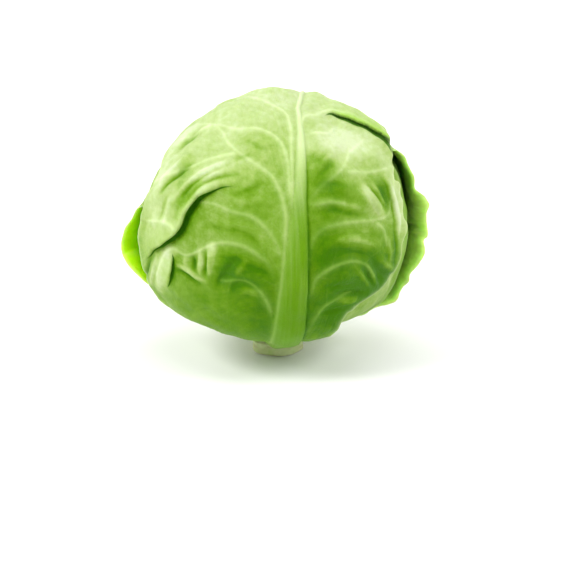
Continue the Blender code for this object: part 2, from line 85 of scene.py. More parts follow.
# Squares along each side of a blade's outer face; its inner face has one for each INNER_STEP of them, and
# CROWDING above 1 makes them smaller towards the leaf's middle
SQUARES = {
    "leaf_under_left": 120,
    "leaf_under_right": 150,
    "leaf_left": 222,
    "leaf_right": 240,
    "leaf_front": 288,
}
INNER_STEP = 3
CROWDING = 1.15

# A blade's thickness, which thins to MARGIN_BLADE over about MARGIN_TAPER beside the margin
BLADE = 0.0010
MARGIN_BLADE = 0.0005
MARGIN_TAPER = 0.0025

# The midrib: its height, its half width at degrees along the leaf, how much its back is rounded, how wide the
# step beside it is on the front leaf's right, and over which shares of its half width the other sides slope
RIB_BASE_HEIGHT = 0.0040
RIB_TIP_HEIGHT = 0.0009
RIB_EDGE = ((-90, 0.0120), (-14, 0.0070), (2, 0.0055), (12, 0.0043), (25, 0.0031), (45, 0.0022), (60, 0.0015),
            (100, 0.0009))
RIB_ROUNDING = 0.25
RIB_STEP = 0.0012
RIB_SLOPE = (0.3, 1.5)

# The midrib's tones: where along the leaf, in degrees, it turns pale, how dark the painted shade beside its
# step is, and where along the leaf that shade ends
PALE_RIB = (14.0, 42.0)
RIB_SHADE = -0.30
SHADE_END = (25.0, 50.0)

# The veins with their narrow cores and pale halos, the twigs, the pillows between the veins, the creases and
# the puckers: how far they reach on each side, and how far they stand out
VEIN_HALF_WIDTH = 0.0030
VEIN_HEIGHT = 0.0007
CORE_HALF_WIDTH = 0.0009
CORE_HEIGHT = 0.00045
HALO_HALF_WIDTH = 0.0024
TWIG_HALF_WIDTH = 0.0004
TWIG_HEIGHT = 0.00010
PILLOW_HEIGHT = 0.0010
PILLOW_REACH = 0.0070
CREASE_HALF_WIDTH = 0.0048
PUCKER_HALF_WIDTH = 0.0017

# The streaks: (how many from one vein to the next, weight), how far from a vein they come in, and how many
# veins would have to pass in one mm for them to fade
STREAK_HEIGHT = 0.00010
STREAKS = ((2.3, 0.5), (5.1, 0.35), (8.7, 0.25))
STREAKS_FREE = 0.003
TIGHTEST_STREAKS = 0.14

# The veins of the other leaves. In degrees of arc: where the first one leaves the midrib, their spacing, its
# scatter, and one step of a vein. In degrees: a vein's first heading, and how much each step bends it
VEIN_COUNT = 12
VEIN_START = (3.0, -44.0)
VEIN_SPACING = 11.0
VEIN_SCATTER = 3
VEIN_STEPS = 7
VEIN_STEP = 9.0
VEIN_HEADING = (26, 34)
VEIN_BEND = (5, 12)
VEIN_RISE = 0.3

# The twigs of every vein, in the same units
TWIG_START = (5, 9)
TWIG_SPACING = (6.0, 11.0)
TWIG_STEPS = (3, 5)
TWIG_STEP = 2.6
TWIG_FORK = (42, 62)
TWIG_BEND = (-16, 8)

# How deep the relief may go, and how much of it stays where another leaf covers the blade
DEEPEST = -0.0010
COVERED_RELIEF = 0.2

# How far outside a leaf's margin, or inside it below 0, the blade under it is covered and from where it is
# free, and how far outside the blade over it is still a whole layer up
COVERED_TO = -0.0010
FREE_FROM = 0.0020
RISE_TO = 0.002

# The margins: waves round the leaf, with heights in degrees of arc or, for ruffles and frills, weights
MARGIN_WAVES = ((11, 0.7), (19, 0.6), (31, 0.4))
FRAY_WAVES = ((47, 0.22), (73, 0.16), (121, 0.10))
RUFFLE_WAVES = ((7, 0.4), (13, 0.6), (21, 0.5))
FRILL_WAVES = ((17, 0.5), (29, 0.5), (43, 0.25))

# The curl in degrees at which ruffles are whole and over which frills grow, and how far frills reach inwards
RUFFLED_AT = 12.0
FRILLED = (15.0, 60.0)
FRILL_REACH = 0.008

# How far in degrees the outline is blurred, at the margin and in the blade, and how late the blade follows it
OUTLINE_BLUR = 1.3
ROUND_BLUR = 9.0
EDGE_HOLD = 3

# How far the pale rim, and on the inner face the bright border of painted light, reach from the margin
RIM_REACH = 0.0009
LIT_BORDER_REACH = 0.0055

# The wrapper leaves, the innermost first. Each one's middle is on the equator at its azimuth. rise is how far
# outside its margin the leaves over it have come down by its layer, and lift how far the blade stands above
# its own layer. outline and curl go by the angle round the leaf, from the right over the tip: the arc to the
# margin, and how far the margin bends outwards over its last curl_length, both in degrees. wave, ruffle,
# frill and rib say how strong its margin's waves, its ruffles, its frills and its veins are
LEAVES = {
    "leaf_under_left": {
        "azimuth": -70,
        "rise": 0.030,
        "lift": 0.0,
        "outline": ((0, 88), (30, 88), (60, 86), (90, 84), (120, 86), (150, 86), (180, 86), (210, 86),
                    (235, 82), (255, 79), (270, 78), (285, 79), (305, 83), (330, 87)),
        "curl_length": 0.010,
        "curl": ((0, 0), (180, 0)),
        "wave": 1.0,
        "ruffle": 0,
        "rib": 0.6,
        "midrib": ((0, -90), (1, -40), (-1, 10), (1, 60), (2, 100)),
        "frill": 0.0,
        "seed": 3,
    },
    "leaf_under_right": {
        "azimuth": 78,
        "rise": 0.030,
        "lift": 0.0,
        "outline": ((0, 86), (30, 88), (60, 88), (90, 85), (120, 88), (150, 89), (180, 89), (210, 87),
                    (235, 83), (255, 79), (270, 78), (285, 79), (305, 84), (330, 86)),
        "curl_length": 0.010,
        "curl": ((0, 0), (180, 0)),
        "wave": 1.0,
        "ruffle": 0,
        "rib": 0.6,
        "midrib": ((0, -90), (-2, -40), (1, 10), (0, 60), (-2, 100)),
        "frill": 0.0,
        "seed": 5,
    },
    "leaf_left": {
        "azimuth": -140,
        "rise": 0.014,
        "lift": 0.0,
        "outline": ((0, 58), (8, 61), (14, 67), (20, 73), (26, 78), (32, 81), (45, 86), (60, 89), (90, 91),
                    (110, 91), (135, 89), (160, 87), (180, 85), (200, 84), (220, 82), (240, 79), (255, 78),
                    (270, 78), (285, 77), (298, 74), (312, 72), (325, 70), (335, 66), (343, 62), (352, 59)),
        "curl_length": 0.021,
        "curl": ((0, 54), (5, 42), (10, 38), (16, 36), (22, 30), (28, 20), (36, 8), (50, 0), (120, 8),
                 (180, 20), (230, 6), (270, 0), (300, 4), (325, 6), (334, 10), (339, 42), (343, 36),
                 (347, 96), (351, 108), (355, 74)),
        "wave": 0.8,
        "ruffle": 5,
        "rib": 0.9,
        "midrib": ((0, -90), (2, -40), (-2, 10), (0, 60), (3, 100)),
        "frill": 0.0004,
        "seed": 8,
    },
    "leaf_right": {
        "azimuth": 150,
        "rise": 0.007,
        "lift": 0.0,
        "outline": ((0, 87), (20, 89), (45, 91), (70, 92), (90, 92), (105, 91), (113, 88), (121, 85),
                    (127, 82), (134, 79), (141, 77), (148, 75), (155, 73), (161, 71), (167, 69), (172, 69),
                    (176, 67), (179, 62), (182, 66), (186, 68), (195, 67), (210, 68), (225, 70), (240, 74),
                    (252, 77), (262, 78), (270, 78), (282, 79), (300, 81), (320, 84), (340, 86)),
        "curl_length": 0.017,
        "curl": ((0, 26), (30, 22), (52, 6), (70, 0), (110, 0), (116, 16), (122, 36), (132, 42), (142, 34),
                 (154, 32), (160, 42), (165, 58), (170, 112), (175, 104), (179, 62), (184, 104), (190, 84),
                 (198, 52), (208, 50), (230, 30), (250, 6), (270, 0), (290, 6), (320, 24), (340, 26)),
        "wave": 0.8,
        "ruffle": 8,
        "rib": 1.0,
        "midrib": ((0, -90), (-2, -40), (0, 10), (2, 60), (0, 100)),
        "frill": 0.0020,
        "seed": 13,
    },
    "leaf_front": {
        "azimuth": 9,
        "rise": 0.010,
        "lift": 0.0013,
        "outline": ((0, 51), (4, 54), (8, 56), (14, 54), (18, 57), (21, 60), (23, 57), (25, 61), (28, 62),
                    (31, 57), (34, 65), (37, 70), (41, 76), (48, 84), (56, 90), (67, 93), (73, 97),
                    (80, 101), (90, 105), (105, 106), (120, 104), (135, 100), (143, 95), (148, 86),
                    (152, 80), (158, 81), (166, 83), (174, 84), (182, 84), (188, 83), (195, 82), (202, 81),
                    (208, 79), (213, 73), (217, 63), (224, 58), (234, 56), (246, 62), (256, 71), (263, 77),
                    (270, 78), (277, 76), (282, 66), (287, 53), (294, 40), (302, 33), (312, 31), (322, 34),
                    (332, 40), (340, 45), (350, 49)),
        "curl_length": 0.012,
        "curl": ((0, 12), (20, 8), (32, 6), (38, 8), (48, 6), (62, 0), (80, 4), (95, 10), (110, 6),
                 (140, 6), (165, 6), (180, 4), (190, 10), (205, 4), (225, 10), (250, 4), (270, 0), (285, 6),
                 (300, 20), (320, 12), (340, 12)),
        "wave": 0.4,
        "ruffle": 8,
        "rib": 1.0,
        "midrib": ((-3, -90), (-4, -50), (-3, -14), (-2.2, 2), (-1, 12), (0.2, 25), (2, 37), (3.5, 46),
                   (6, 60), (9, 75), (15, 87), (24, 100)),
        "frill": 0.0,
        "seed": 21,
    },
}

# The front leaf's main veins: (across, along) points from the midrib outwards, and over which share of the
# length the vein comes up out of the midrib
FRONT_VEINS = (
    (((-3, 20), (-2, 29), (-0.5, 45), (1, 56), (1.5, 63), (0.5, 69), (-3, 73), (-8, 77), (-14, 81), (-20, 87),
      (-27, 92)), 0.1),
    (((-3.5, 22), (-2.5, 35), (-3, 44), (-5, 51), (-9, 56), (-15, 59), (-24, 60), (-32, 63), (-43, 67),
      (-54, 72)), 0.1),
    (((-6, 0), (-5.5, 10), (-5, 18), (-6, 26), (-9, 34), (-13, 38), (-18, 42), (-25, 48), (-30, 54),
      (-33, 60), (-38, 65), (-46, 69)), 0.2),
    (((-38, 65), (-45, 64), (-53, 62), (-64, 62)), 0.1),
    (((-22, 46), (-29, 46), (-37, 45), (-45, 42), (-55, 39), (-66, 35), (-78, 32)), 0.1),
    (((-6, -3), (-8, 7), (-12, 14), (-18, 19), (-26, 21), (-34, 24), (-42, 25)), 0.5),
    (((-8, -12), (-11, 0), (-16, 5), (-22, 8), (-30, 8.5), (-37, 6), (-42, 3), (-48, 0), (-52, 0.5),
      (-56, 1.5), (-60, -1), (-63, -7), (-67, -16)), 0.4),
    (((-9, -30), (-12, -15), (-17, -8), (-23, -6), (-31, -8)), 0.5),
    (((3, 40), (4, 49), (6, 58), (9, 65), (14, 70), (22, 72), (32, 74), (42, 70), (50, 62)), 0.1),
    (((6, 55), (14, 56), (21, 57), (27, 62)), 0.4),
    (((3, 14), (5, 24), (9, 29), (15, 33), (21, 37), (25, 41), (28, 45), (33, 48), (42, 53)), 0.6),
    (((20, 35.5), (25, 35.5), (35, 35), (48, 36)), 0.2),
    (((3, -5), (4, 7), (8, 13), (16, 15), (25, 15), (33, 14.5), (40, 15), (45, 18), (49, 26), (51, 32)), 0.5),
    (((33, 14), (38, 10), (40, 3)), 0.2),
    (((-53, 12), (-58, 14.5), (-66, 13.5), (-78, 11)), 0.1),
    (((3, -18), (5, -7), (8, -3), (14, -0.5), (21, 0), (28, -3), (33, -9)), 0.5),
    (((3, -34), (8, -20), (14, -15), (22, -14)), 0.6),
    (((-11, -60), (-9.5, -38), (-7.8, -16), (-6.4, 0), (-5.8, 9), (-5.6, 14)), 0.3),
    (((2, 24), (7, 23), (13, 23.5), (19, 22.5)), 0.5),
)

# Folds of the front leaf: points, and how far each stands out or, below 0, sinks in
FRONT_CREASES = (
    (((-24, 41), (-33, 39), (-42, 35), (-49, 29)), 0.0012),
    (((38, 30), (43, 23), (46, 16)), -0.0014),
    (((30, 31), (35, 22), (40, 15)), 0.0014),
    (((6, 45), (12, 41), (20, 42)), -0.0008),
    (((-46, 64), (-56, 58), (-64, 50)), -0.0012),
    (((-50, 72), (-60, 66), (-70, 58)), 0.0010),
    (((-34, 9), (-36, 0), (-37, -8)), 0.0012),
    (((-57, 6), (-61, -6), (-64, -16), (-68, -28)), 0.0016),
    (((14, -15), (20, -16), (28, -18)), 0.0007),
)

# Narrow puckers of the front leaf: points, and how far each stands out
FRONT_PUCKERS = (
    (((-25, 44), (-33, 41), (-41, 37), (-48, 32), (-55, 25)), 0.0007),
    (((-27, 41), (-35, 38), (-43, 34), (-50, 28), (-56, 21)), -0.0014),
    (((-30, 38), (-38, 35), (-45, 31), (-51, 25)), 0.0009),
    (((-24, 36), (-32, 35.5), (-40, 33), (-46, 28), (-51, 21)), -0.0013),
    (((-24, 33.5), (-32, 33.5), (-39, 31.5), (-44, 27)), 0.0005),
    (((-47, 43), (-53, 38), (-59, 33), (-65, 26)), -0.0015),
    (((-52, 45), (-59, 40), (-66, 33)), 0.0008),
    (((-58, 28), (-62, 20), (-66, 10)), -0.0004),
    (((-55, 30), (-58, 21), (-61, 12)), 0.0004),
    (((-33, 33), (-39, 31.5), (-44.5, 28), (-48, 22.5), (-51, 16.5), (-55, 11.5)), 0.0007),
    (((-37, 35), (-43, 33), (-47.5, 29), (-51, 24), (-54.5, 17)), -0.0009),
    (((-12, 33), (-18, 30), (-26, 27)), -0.0005),
    (((-10, 26), (-17, 25), (-26, 24.5)), 0.0004),
    (((-41, 4), (-40.5, -1), (-41, -8)), 0.0012),
    (((-34, 7), (-35, 1), (-37, -7)), 0.0010),
    (((-38, 5), (-37.5, -1), (-38.5, -8)), -0.0016),
    (((-45, 1), (-44, -3), (-44, -6)), -0.0014),
    (((-47, -0.5), (-49, -3), (-48, -6)), 0.0007),
    (((-38, -9.5), (-42, -9), (-45, -7.5), (-49, -6.5), (-52, -6), (-55, -6.5)), 0.0012),
    (((-41, -12), (-45, -10.5), (-49, -9), (-52, -8.5), (-55, -9)), -0.0012),
    (((-23, 4), (-26.5, -0.5), (-30, -5)), -0.0014),
    (((-19.5, 3), (-23, -2), (-25, -5)), 0.0008),
    (((-33, -11), (-31, -7), (-28.5, -5), (-24, -5)), -0.0013),
    (((-26, -12), (-25, -9), (-22.5, -6.5), (-19, -7), (-15, -8)), -0.0013),
    (((-23, -12), (-20, -10), (-15, -11)), 0.0008),
    (((-70, -5), (-75, -15), (-82, -30)), -0.0014),
    (((-66, -4), (-70, -15), (-76, -30)), 0.0010),
    (((6, 24), (12, 24), (20, 22), (29, 20)), 0.0005),
    (((6, 20), (13, 20.5), (21, 18.5), (30, 17)), -0.0006),
    (((7, 33), (12, 36), (18, 40)), -0.0006),
    (((6, 38), (12, 40), (19, 45)), 0.0005),
    (((9, 7), (16, 9), (24, 8), (34, 4)), 0.0006),
    (((8, 3), (15, 5), (23, 3.5), (33, 0)), -0.0006),
    (((29, 29), (33, 24), (38, 16)), 0.0010),
    (((32, 31), (36, 25), (41, 18)), -0.0009),
    (((35, 30), (39, 24), (43, 19)), 0.0008),
    (((42, 34), (45, 27), (47, 18), (46, 8)), -0.0010),
    (((45, 33), (48, 25), (49.5, 15), (48, 4)), 0.0010),
    (((23, -3), (27, -8), (32, -15)), 0.0011),
    (((26, -3), (30, -8.5), (34, -15)), -0.0010),
    (((28, -2.5), (32, -8.5), (36, -16)), 0.0010),
    (((31, -1.5), (35, -8), (38, -15)), -0.0009),
    (((14, -15), (20, -17), (28, -19)), 0.0006),
    (((13, -12.5), (20, -13.5), (29, -16)), -0.0018),
    (((9, -9), (16, -9), (24, -11)), -0.0009),
    (((8, -21), (15, -20), (22, -22)), -0.0010),
    (((22, -24), (27, -26), (30, -31)), -0.0012),
    (((34, -4), (38, -9), (43, -12), (48, -12)), -0.0014),
    (((36, -2), (40, -6), (45, -9)), 0.0009),
    (((18, -19), (26, -21), (34, -20)), -0.0014),
    (((40, 8), (42, 0), (41, -8)), 0.0007),
    (((45, 12), (46, 2), (45, -8)), -0.0008),
    (((6, 30), (13, 31), (22, 29)), -0.0005),
    (((-16, 46), (-22, 44), (-29, 43)), -0.0005),
    (((-10, 45), (-16, 50), (-24, 55)), -0.0004),
    (((-12, 4), (-19, 12), (-29, 14), (-39, 15)), -0.0005),
    (((-10, -4), (-15, -1), (-23, 1.5), (-31, 3)), -0.0006),
)

# The deep folds of the front leaf: height, how far the lip is carried over the lower side, how far the blade
# beyond stays raised, the shares of the length over which the fold grows and ends, how green its lip is, and
# how dark the lower side is beside it. The blade on the right of the points, as they run, laps over
FRONT_LAPS = (
    {
        "points": ((-20, 30.5), (-26, 31), (-31, 30.5), (-36, 28.5), (-41.5, 25.5), (-45, 20.5), (-48, 14.5),
                   (-51.5, 9.5), (-56, 5.5), (-62, 1), (-67, -2), (-72, -7), (-78, -13)),
        "rise": 0.0064,
        "overhang": 0.0044,
        "reach": 0.014,
        "growth": 0.4,
        "ending": 0.4,
        "green_lip": 0.25,
        "shadow": 0.55,
    },
    {
        "points": ((-57, 0), (-55.5, -4), (-55.5, -8), (-56.5, -12), (-58, -17), (-61, -22)),
        "rise": 0.0034,
        "overhang": 0.0030,
        "reach": 0.006,
        "growth": 0.3,
        "ending": 0.5,
        "green_lip": 0.5,
        "shadow": 0.5,
    },
    {
        "points": ((57, 36), (55.5, 43), (53, 50), (48, 57), (41, 62.5), (35, 66.5), (29, 70.5), (23, 70.5)),
        "rise": 0.0060,
        "overhang": 0.0048,
        "reach": 0.009,
        "growth": 0.05,
        "ending": 0.25,
        "green_lip": 1.0,
        "shadow": 0.15,
    },
)

# Every fold: the share of its height by which the lower side sinks, how wide the lip's turn is, over how far
# the blade behind the lip leans less and less, and how far the lip's green and the shadow reach
LAP_SINK = 0.3
LAP_TURN = 0.0022
LAP_LEAN = 0.007
LIP_REACH = 0.0036
SHADOW_REACH = 0.0028

# The painted shade in the gap of a fold, dark where shade falls under the lip: it runs from the line of
# points to the height given first below, over the lip's start, and shows whole where the fold has grown by
# the share given next. The fields that draw it are in mm, within FOLD_FIELD, the sharpness given third says
# how sharp its edges are, and FAR stands for no fold near
GAP_SHADE_TOP = 0.0012
GAP_SHADE_WHOLE = 0.25
GAP_SHADE_SHARPNESS = 1.6
FOLD_FIELD = 4.0
FAR = 1.0

# The step by which the direction towards a fold is measured
SLOPE_PROBE = 0.0002

# Tones of the front leaf: the folds' relief counts within the range just below, in mm, as painted
# highlight on ridges and painted shade in furrows. The soft paler and darker areas after it are partly the
# leaf's own mottling and partly painted light and shade, paler at the top where most light falls and darker
# low on the leaf and beside veins and folds where shade falls: across, along, how far each reaches both ways
# in degrees, and how much
FOLD_SHADE_RANGE = (-1.2, 1.0)
FRONT_TONES_AND_SHADING = (
    (0, 84, 80, 28, 0.38),
    (-42, 52, 26, 20, 0.17),
    (-66, 30, 14, 34, 0.36),
    (-72, 10, 10, 14, -0.02),
    (-20, 50, 12, 8, -0.04),
    (-18, 22, 14, 12, -0.14),
    (-27, 36, 9, 8, 0.02),
    (13, 29, 8, 11, -0.31),
    (-14, -22, 6, 22, -0.10),
    (14, 48, 10, 9, 0.22),
    (27, 24, 7, 6, -0.12),
    (38, 24, 5, 8, -0.28),
    (34, 52, 16, 12, 0.46),
    (52, 22, 8, 24, 0.34),
    (10, 8, 9, 12, -0.31),
    (21, 1, 16, 8, -0.12),
    (30, -14, 22, 14, -0.42),
    (0, -25, 60, 24, -0.35),
    (-26, -2, 14, 9, -0.34),
    (-46, 33, 8, 5, -0.14),
    (-52, 40, 6, 8, -0.20),
    (-60, 24, 5, 8, -0.10),
    (30, -2, 5, 6, -0.14),
    (44, 0, 5, 14, -0.16),
)

# Leaves whose margins show as low steps on the heart: azimuth, and arc from middle to margin
HEART_LEAVES = ((30, 78), (165, 84), (280, 80))
HEART_STEP = 0.0012
HEART_RINGS = 150
HEART_SPOKES = 300
HEART_BASE_ARC = 166

# The stalk: points round it, its cut face's height, the height of its shoulder's slope, the scars of trimmed
# leaves with the angle from one to the next in radians, and the ring of fibres on its cut face
STALK_SIDES = 160
STALK_CUT = 0.0002
STALK_SLOPE = 0.0025
SCARS = 6
SCAR_TURN = 2.4
SCAR_DEPTH = 0.0004
SCAR_HALF_ANGLE = 0.55
SCAR_HALF_HEIGHT = 0.0010
RING_RADIUS = 0.72 * STALK_RADIUS
RING_HALF_WIDTH = 0.0008

# The leaves' looks: tone, the inner face's colour at its border, bright with painted light that stands in for
# light shining through, how bright that colour is away from the border, where it is painted shade between the
# leaves, and how much light the flesh lets through. Tones run from dark 0 to pale 1
LEAF_LOOKS = {
    "leaf_under_left": (0.62, (0.30, 0.60, 0.02), 0.7, 0.1),
    "leaf_under_right": (0.50, (0.30, 0.60, 0.02), 0.7, 0.1),
    "leaf_left": (0.58, (0.60, 0.92, 0.005), 0.75, 0.7),
    "leaf_right": (0.64, (0.62, 0.90, 0.16), 0.26, 0.6),
    "leaf_front": (0.50, (0.30, 0.60, 0.02), 0.7, 0.12),
}

# Colours of blade and veins from dark to pale tones, and the colours laid over them
GREENS = (
    (0.0, (0.042, 0.150, 0.001)),
    (0.2, (0.084, 0.207, 0.002)),
    (0.4, (0.148, 0.285, 0.019)),
    (0.6, (0.266, 0.390, 0.082)),
    (0.8, (0.380, 0.490, 0.185)),
    (1.0, (0.500, 0.585, 0.330)),
)
VEIN_GREENS = (
    (0.0, (0.180, 0.340, 0.040)),
    (0.4, (0.340, 0.470, 0.140)),
    (0.7, (0.540, 0.650, 0.320)),
    (1.0, (0.660, 0.740, 0.470)),
)
RIB_COLOUR = (0.110, 0.262, 0.004, 1.0)
# The gap colour is the painted shade in the folds' gaps, under their lips
GAP_SHADE_COLOUR = (0.020, 0.110, 0.001, 1.0)
LIP_COLOUR = (0.270, 0.540, 0.012, 1.0)
BLOOM_COLOUR = (0.560, 0.650, 0.460, 1.0)
RIM_COLOUR = (0.560, 0.660, 0.320, 1.0)

# The lamps: azimuth and elevation in degrees, strength, and apparent size in degrees
SUNS = {
    "left": (-62, 42, 2.4, 24),
    "right": (68, 42, 1.6, 24),
    "top": (20, 80, 0.9, 40),
    "back_left": (-130, 28, 1.3, 40),
    "back_right": (125, 30, 1.0, 40),
}

# How bright the sky's light is, and the floor: its corners, its radius and its height
SKY_STRENGTH = 0.38
FLOOR_SIDES = 96
FLOOR_RADIUS = 14.0
FLOOR_HEIGHT = -0.00005

# The camera: metres per pixel at the head, and pixels from the head's middle to the picture's middle
PER_PIXEL = 0.000638
AIM_RIGHT = 8
AIM_DOWN = 59
CAMERA_ELEVATION = 18
CAMERA_DISTANCE = 0.858

MM = 1000.0


def smooth_between(low, high, value):
    """0 up to one value and 1 from the other on, with a smooth rise between them."""
    share = np.clip((value - low) / (high - low), 0.0, 1.0)
    return share * share * (3.0 - 2.0 * share)


def bell(distance, reach):
    """1 at no distance, falling off on both sides."""
    return np.exp(-((distance / reach) ** 2))


def wave_sum(draw, waves, turn):
    """Sine waves round a leaf, each one's start drawn in turn."""
    return sum(weight * np.sin(count * turn + draw.uniform(0, 2.0 * math.pi)) for count, weight in waves)


def unit_vector(azimuth, elevation):
    """The direction at an azimuth, from -Y towards +X, and an elevation, both in degrees."""
    a, e = math.radians(azimuth), math.radians(elevation)
    return np.array([math.sin(a) * math.cos(e), -math.cos(a) * math.cos(e), math.sin(e)])


def leaf_axes(azimuth):
    """Outward, right and up at a leaf's middle, which is on the head's equator."""
    a = math.radians(azimuth)
    return unit_vector(azimuth, 0), np.array([math.cos(a), math.sin(a), 0.0]), np.array([0.0, 0.0, 1.0])


def direction_at(azimuth, across, along):
    """Directions from the head's centre to places on a leaf. The arcs are in radians."""
    outward, right, up = leaf_axes(azimuth)
    arc = np.hypot(across, along)
    share = np.sinc(arc / math.pi)
    return (np.cos(arc)[..., None] * outward + (across * share)[..., None] * right
            + (along * share)[..., None] * up)


def place_on_leaf(azimuth, direction):
    """The reverse of direction_at: the arc from the leaf's middle, and the angle round it in degrees."""
    outward, right, up = leaf_axes(azimuth)
    arc = np.arccos(np.clip(direction @ outward, -1.0, 1.0))
    angle = np.degrees(np.arctan2(direction @ up, direction @ right))
    return arc, angle


def waves_over(direction, seed, height, length):
    """Soft waves all over the head, shared by every layer, so that the leaves bulge and sink together."""
    draw = np.random.default_rng(seed)
    total = np.zeros(direction.shape[:-1])
    for _ in range(WAVES):
        heading = draw.normal(size=3)
        heading *= 2.0 * math.pi * HEART_RADIUS / length / np.linalg.norm(heading)
        total += np.sin(direction @ heading + draw.uniform(0, 2.0 * math.pi))
    return height * total * math.sqrt(2.0 / WAVES)


def heart_radius(direction):
    """The ball under the wrapper leaves, flattened a little on top and more round the stalk."""
    up = direction[..., 2]
    flat = TOP_FLATTENING * smooth_between(0.4, 1.0, up) + BASE_FLATTENING * smooth_between(0.45, 1.0, -up)
    radius = HEART_RADIUS * (1.0 - flat) + waves_over(direction, 7, UNDULATION, UNDULATION_LENGTH)
    for azimuth, elevation, height, spread in LUMPS:
        radius += height * np.exp((direction @ unit_vector(azimuth, elevation) - 1.0) / spread)
    return radius


def round_table(points, blur):
    """Values at every degree round a leaf, read between (angle, value) points and blurred."""
    angles, values = zip(*points)
    table = np.interp(np.arange(360.0), angles, values, period=360.0)
    reach = math.ceil(3 * blur)
    weights = np.exp(-0.5 * (np.arange(-reach, reach + 1) / blur) ** 2)
    padded = np.take(table, np.arange(-reach, 360 + reach), mode="wrap")
    return np.convolve(padded, weights / weights.sum(), mode="valid")


def read_table(table, angle):
    """A leaf's values at any angles, read from the ones at whole degrees."""
    return np.interp(angle, np.arange(360.0), table, period=360.0)


def outline_of(leaf):
    """At every degree, the arc in radians from the leaf's middle to its margin, and the margin's slant."""
    waves = wave_sum(random.Random(leaf["seed"]), MARGIN_WAVES, np.radians(np.arange(360.0)))
    arc = np.radians(round_table(leaf["outline"], OUTLINE_BLUR) + leaf["wave"] * waves)
    change = (np.roll(arc, -1) - np.roll(arc, 1)) / math.radians(2.0)
    return arc, np.arctan2(change, arc)


def frayed(leaf, angle):
    """Small irregular notches of the margin, in radians of arc."""
    draw = random.Random(leaf["seed"] + 100)
    total = np.zeros(angle.shape)
    for waves, height in FRAY_WAVES:
        total += height * np.sin(np.radians(waves * angle) + draw.uniform(0, 2.0 * math.pi))
        total *= 0.6 + 0.4 * np.sin(np.radians(5 * angle) + draw.uniform(0, 2.0 * math.pi))
    return np.radians(total)


def cover(leaf, direction, near, far):
    """1 where a leaf reaches this direction, falling to 0 between two distances outside its margin."""
    arc, angle = place_on_leaf(leaf["azimuth"], direction)
    margin, slant = outline_of(leaf)
    outside = (arc - read_table(margin, angle)) * np.cos(read_table(slant, angle)) * HEART_RADIUS
    return 1.0 - smooth_between(near, far, outside)


def near_line(across, along, points):
    """Each place's distance to a line of points in metres, the share of the line there, and which side."""
    line = np.radians(np.array(points, float)) * HEART_RADIUS
    lengths = np.linalg.norm(np.diff(line, axis=0), axis=1)
    starts = np.concatenate([[0.0], np.cumsum(lengths)[:-1]])
    best = np.full(across.shape, 1e9)
    share = np.zeros(across.shape)
    side = np.zeros(across.shape)
    for start, end, length, before in zip(line[:-1], line[1:], lengths, starts):
        run = (end - start) / length
        dx, dy = across * HEART_RADIUS - start[0], along * HEART_RADIUS - start[1]
        t = np.clip(dx * run[0] + dy * run[1], 0.0, length)
        distance = np.hypot(dx - t * run[0], dy - t * run[1])
        nearer = distance < best
        best = np.where(nearer, distance, best)
        share = np.where(nearer, (before + t) / lengths.sum(), share)
        side = np.where(nearer, np.sign(dx * run[1] - dy * run[0]), side)
    return best, share, side


def rounded(points, steps=5):
    """A smooth line through the points, so that a vein bends softly."""
    p = np.array([points[0], *points, points[-1]], float)
    line = []
    for a, b, c, d in zip(p[:-3], p[1:-2], p[2:-1], p[3:]):
        for t in np.arange(steps) / steps:
            line.append(0.5 * (2 * b + (c - a) * t + (2 * a - 5 * b + 4 * c - d) * t ** 2
                               + (3 * b - a - 3 * c + d) * t ** 3))
    line.append(p[-1])
    return np.array(line)


def grown_veins(seed):
    """Main veins that leave the midrib in turn on the left and the right and bend out towards the margin."""
    draw = random.Random(seed)
    veins = []
    for number in range(VEIN_COUNT):
        side = -1 if number % 2 else 1
        x = side * VEIN_START[0]
        y = VEIN_START[1] + VEIN_SPACING * number + draw.uniform(-VEIN_SCATTER, VEIN_SCATTER)
        heading = draw.uniform(*VEIN_HEADING)
        vein = [(x, y)]
        for _ in range(VEIN_STEPS):
            x += side * VEIN_STEP * math.sin(math.radians(heading))
            y += VEIN_STEP * math.cos(math.radians(heading))
            heading += draw.uniform(*VEIN_BEND)
            vein.append((x, y))
        veins.append((tuple(vein), VEIN_RISE))
    return tuple(veins)


def grown_twigs(veins, seed):
    """Side veins that leave the main veins on both sides and bend towards the next one."""
    draw = random.Random(seed + 50)
    twigs = []
    for vein in veins:
        line = rounded(vein)
        travelled = np.concatenate([[0.0], np.cumsum(np.linalg.norm(np.diff(line, axis=0), axis=1))])
        at = draw.uniform(*TWIG_START)
        side = draw.choice((-1, 1))
        while at < travelled[-1] - 2.0:
            x, y = (float(np.interp(at, travelled, line[:, axis])) for axis in (0, 1))
            ahead = [float(np.interp(at + 1.0, travelled, line[:, axis])) for axis in (0, 1)]
            heading = math.atan2(ahead[1] - y, ahead[0] - x) + side * math.radians(draw.uniform(*TWIG_FORK))
            twig = [(x, y)]
            for _ in range(draw.randint(*TWIG_STEPS)):
                x += TWIG_STEP * math.cos(heading)
                y += TWIG_STEP * math.sin(heading)
                heading += math.radians(draw.uniform(*TWIG_BEND)) * side
                twig.append((x, y))
            twigs.append(twig)
            at += draw.uniform(*TWIG_SPACING)
            side = -side
    return twigs


def streaks(across, along, level):
    """Streaks along lines of one level between veins, none where the level changes too fast for them."""
    step = np.hypot(np.hypot(*np.gradient(across)), np.hypot(*np.gradient(along))) + 1e-9
    change = np.hypot(*np.gradient(level)) / step / (HEART_RADIUS * MM)
    total = np.zeros(across.shape)
    for waves, weight in STREAKS:
        phase = 2.0 * np.sin(waves * 2.0 * across + 1.0) + 2.0 * np.sin(waves * 1.7 * along + waves)
        total += weight * np.sin(2.0 * math.pi * waves * level + phase)
    return total / (1.0 + (change / TIGHTEST_STREAKS) ** 4)


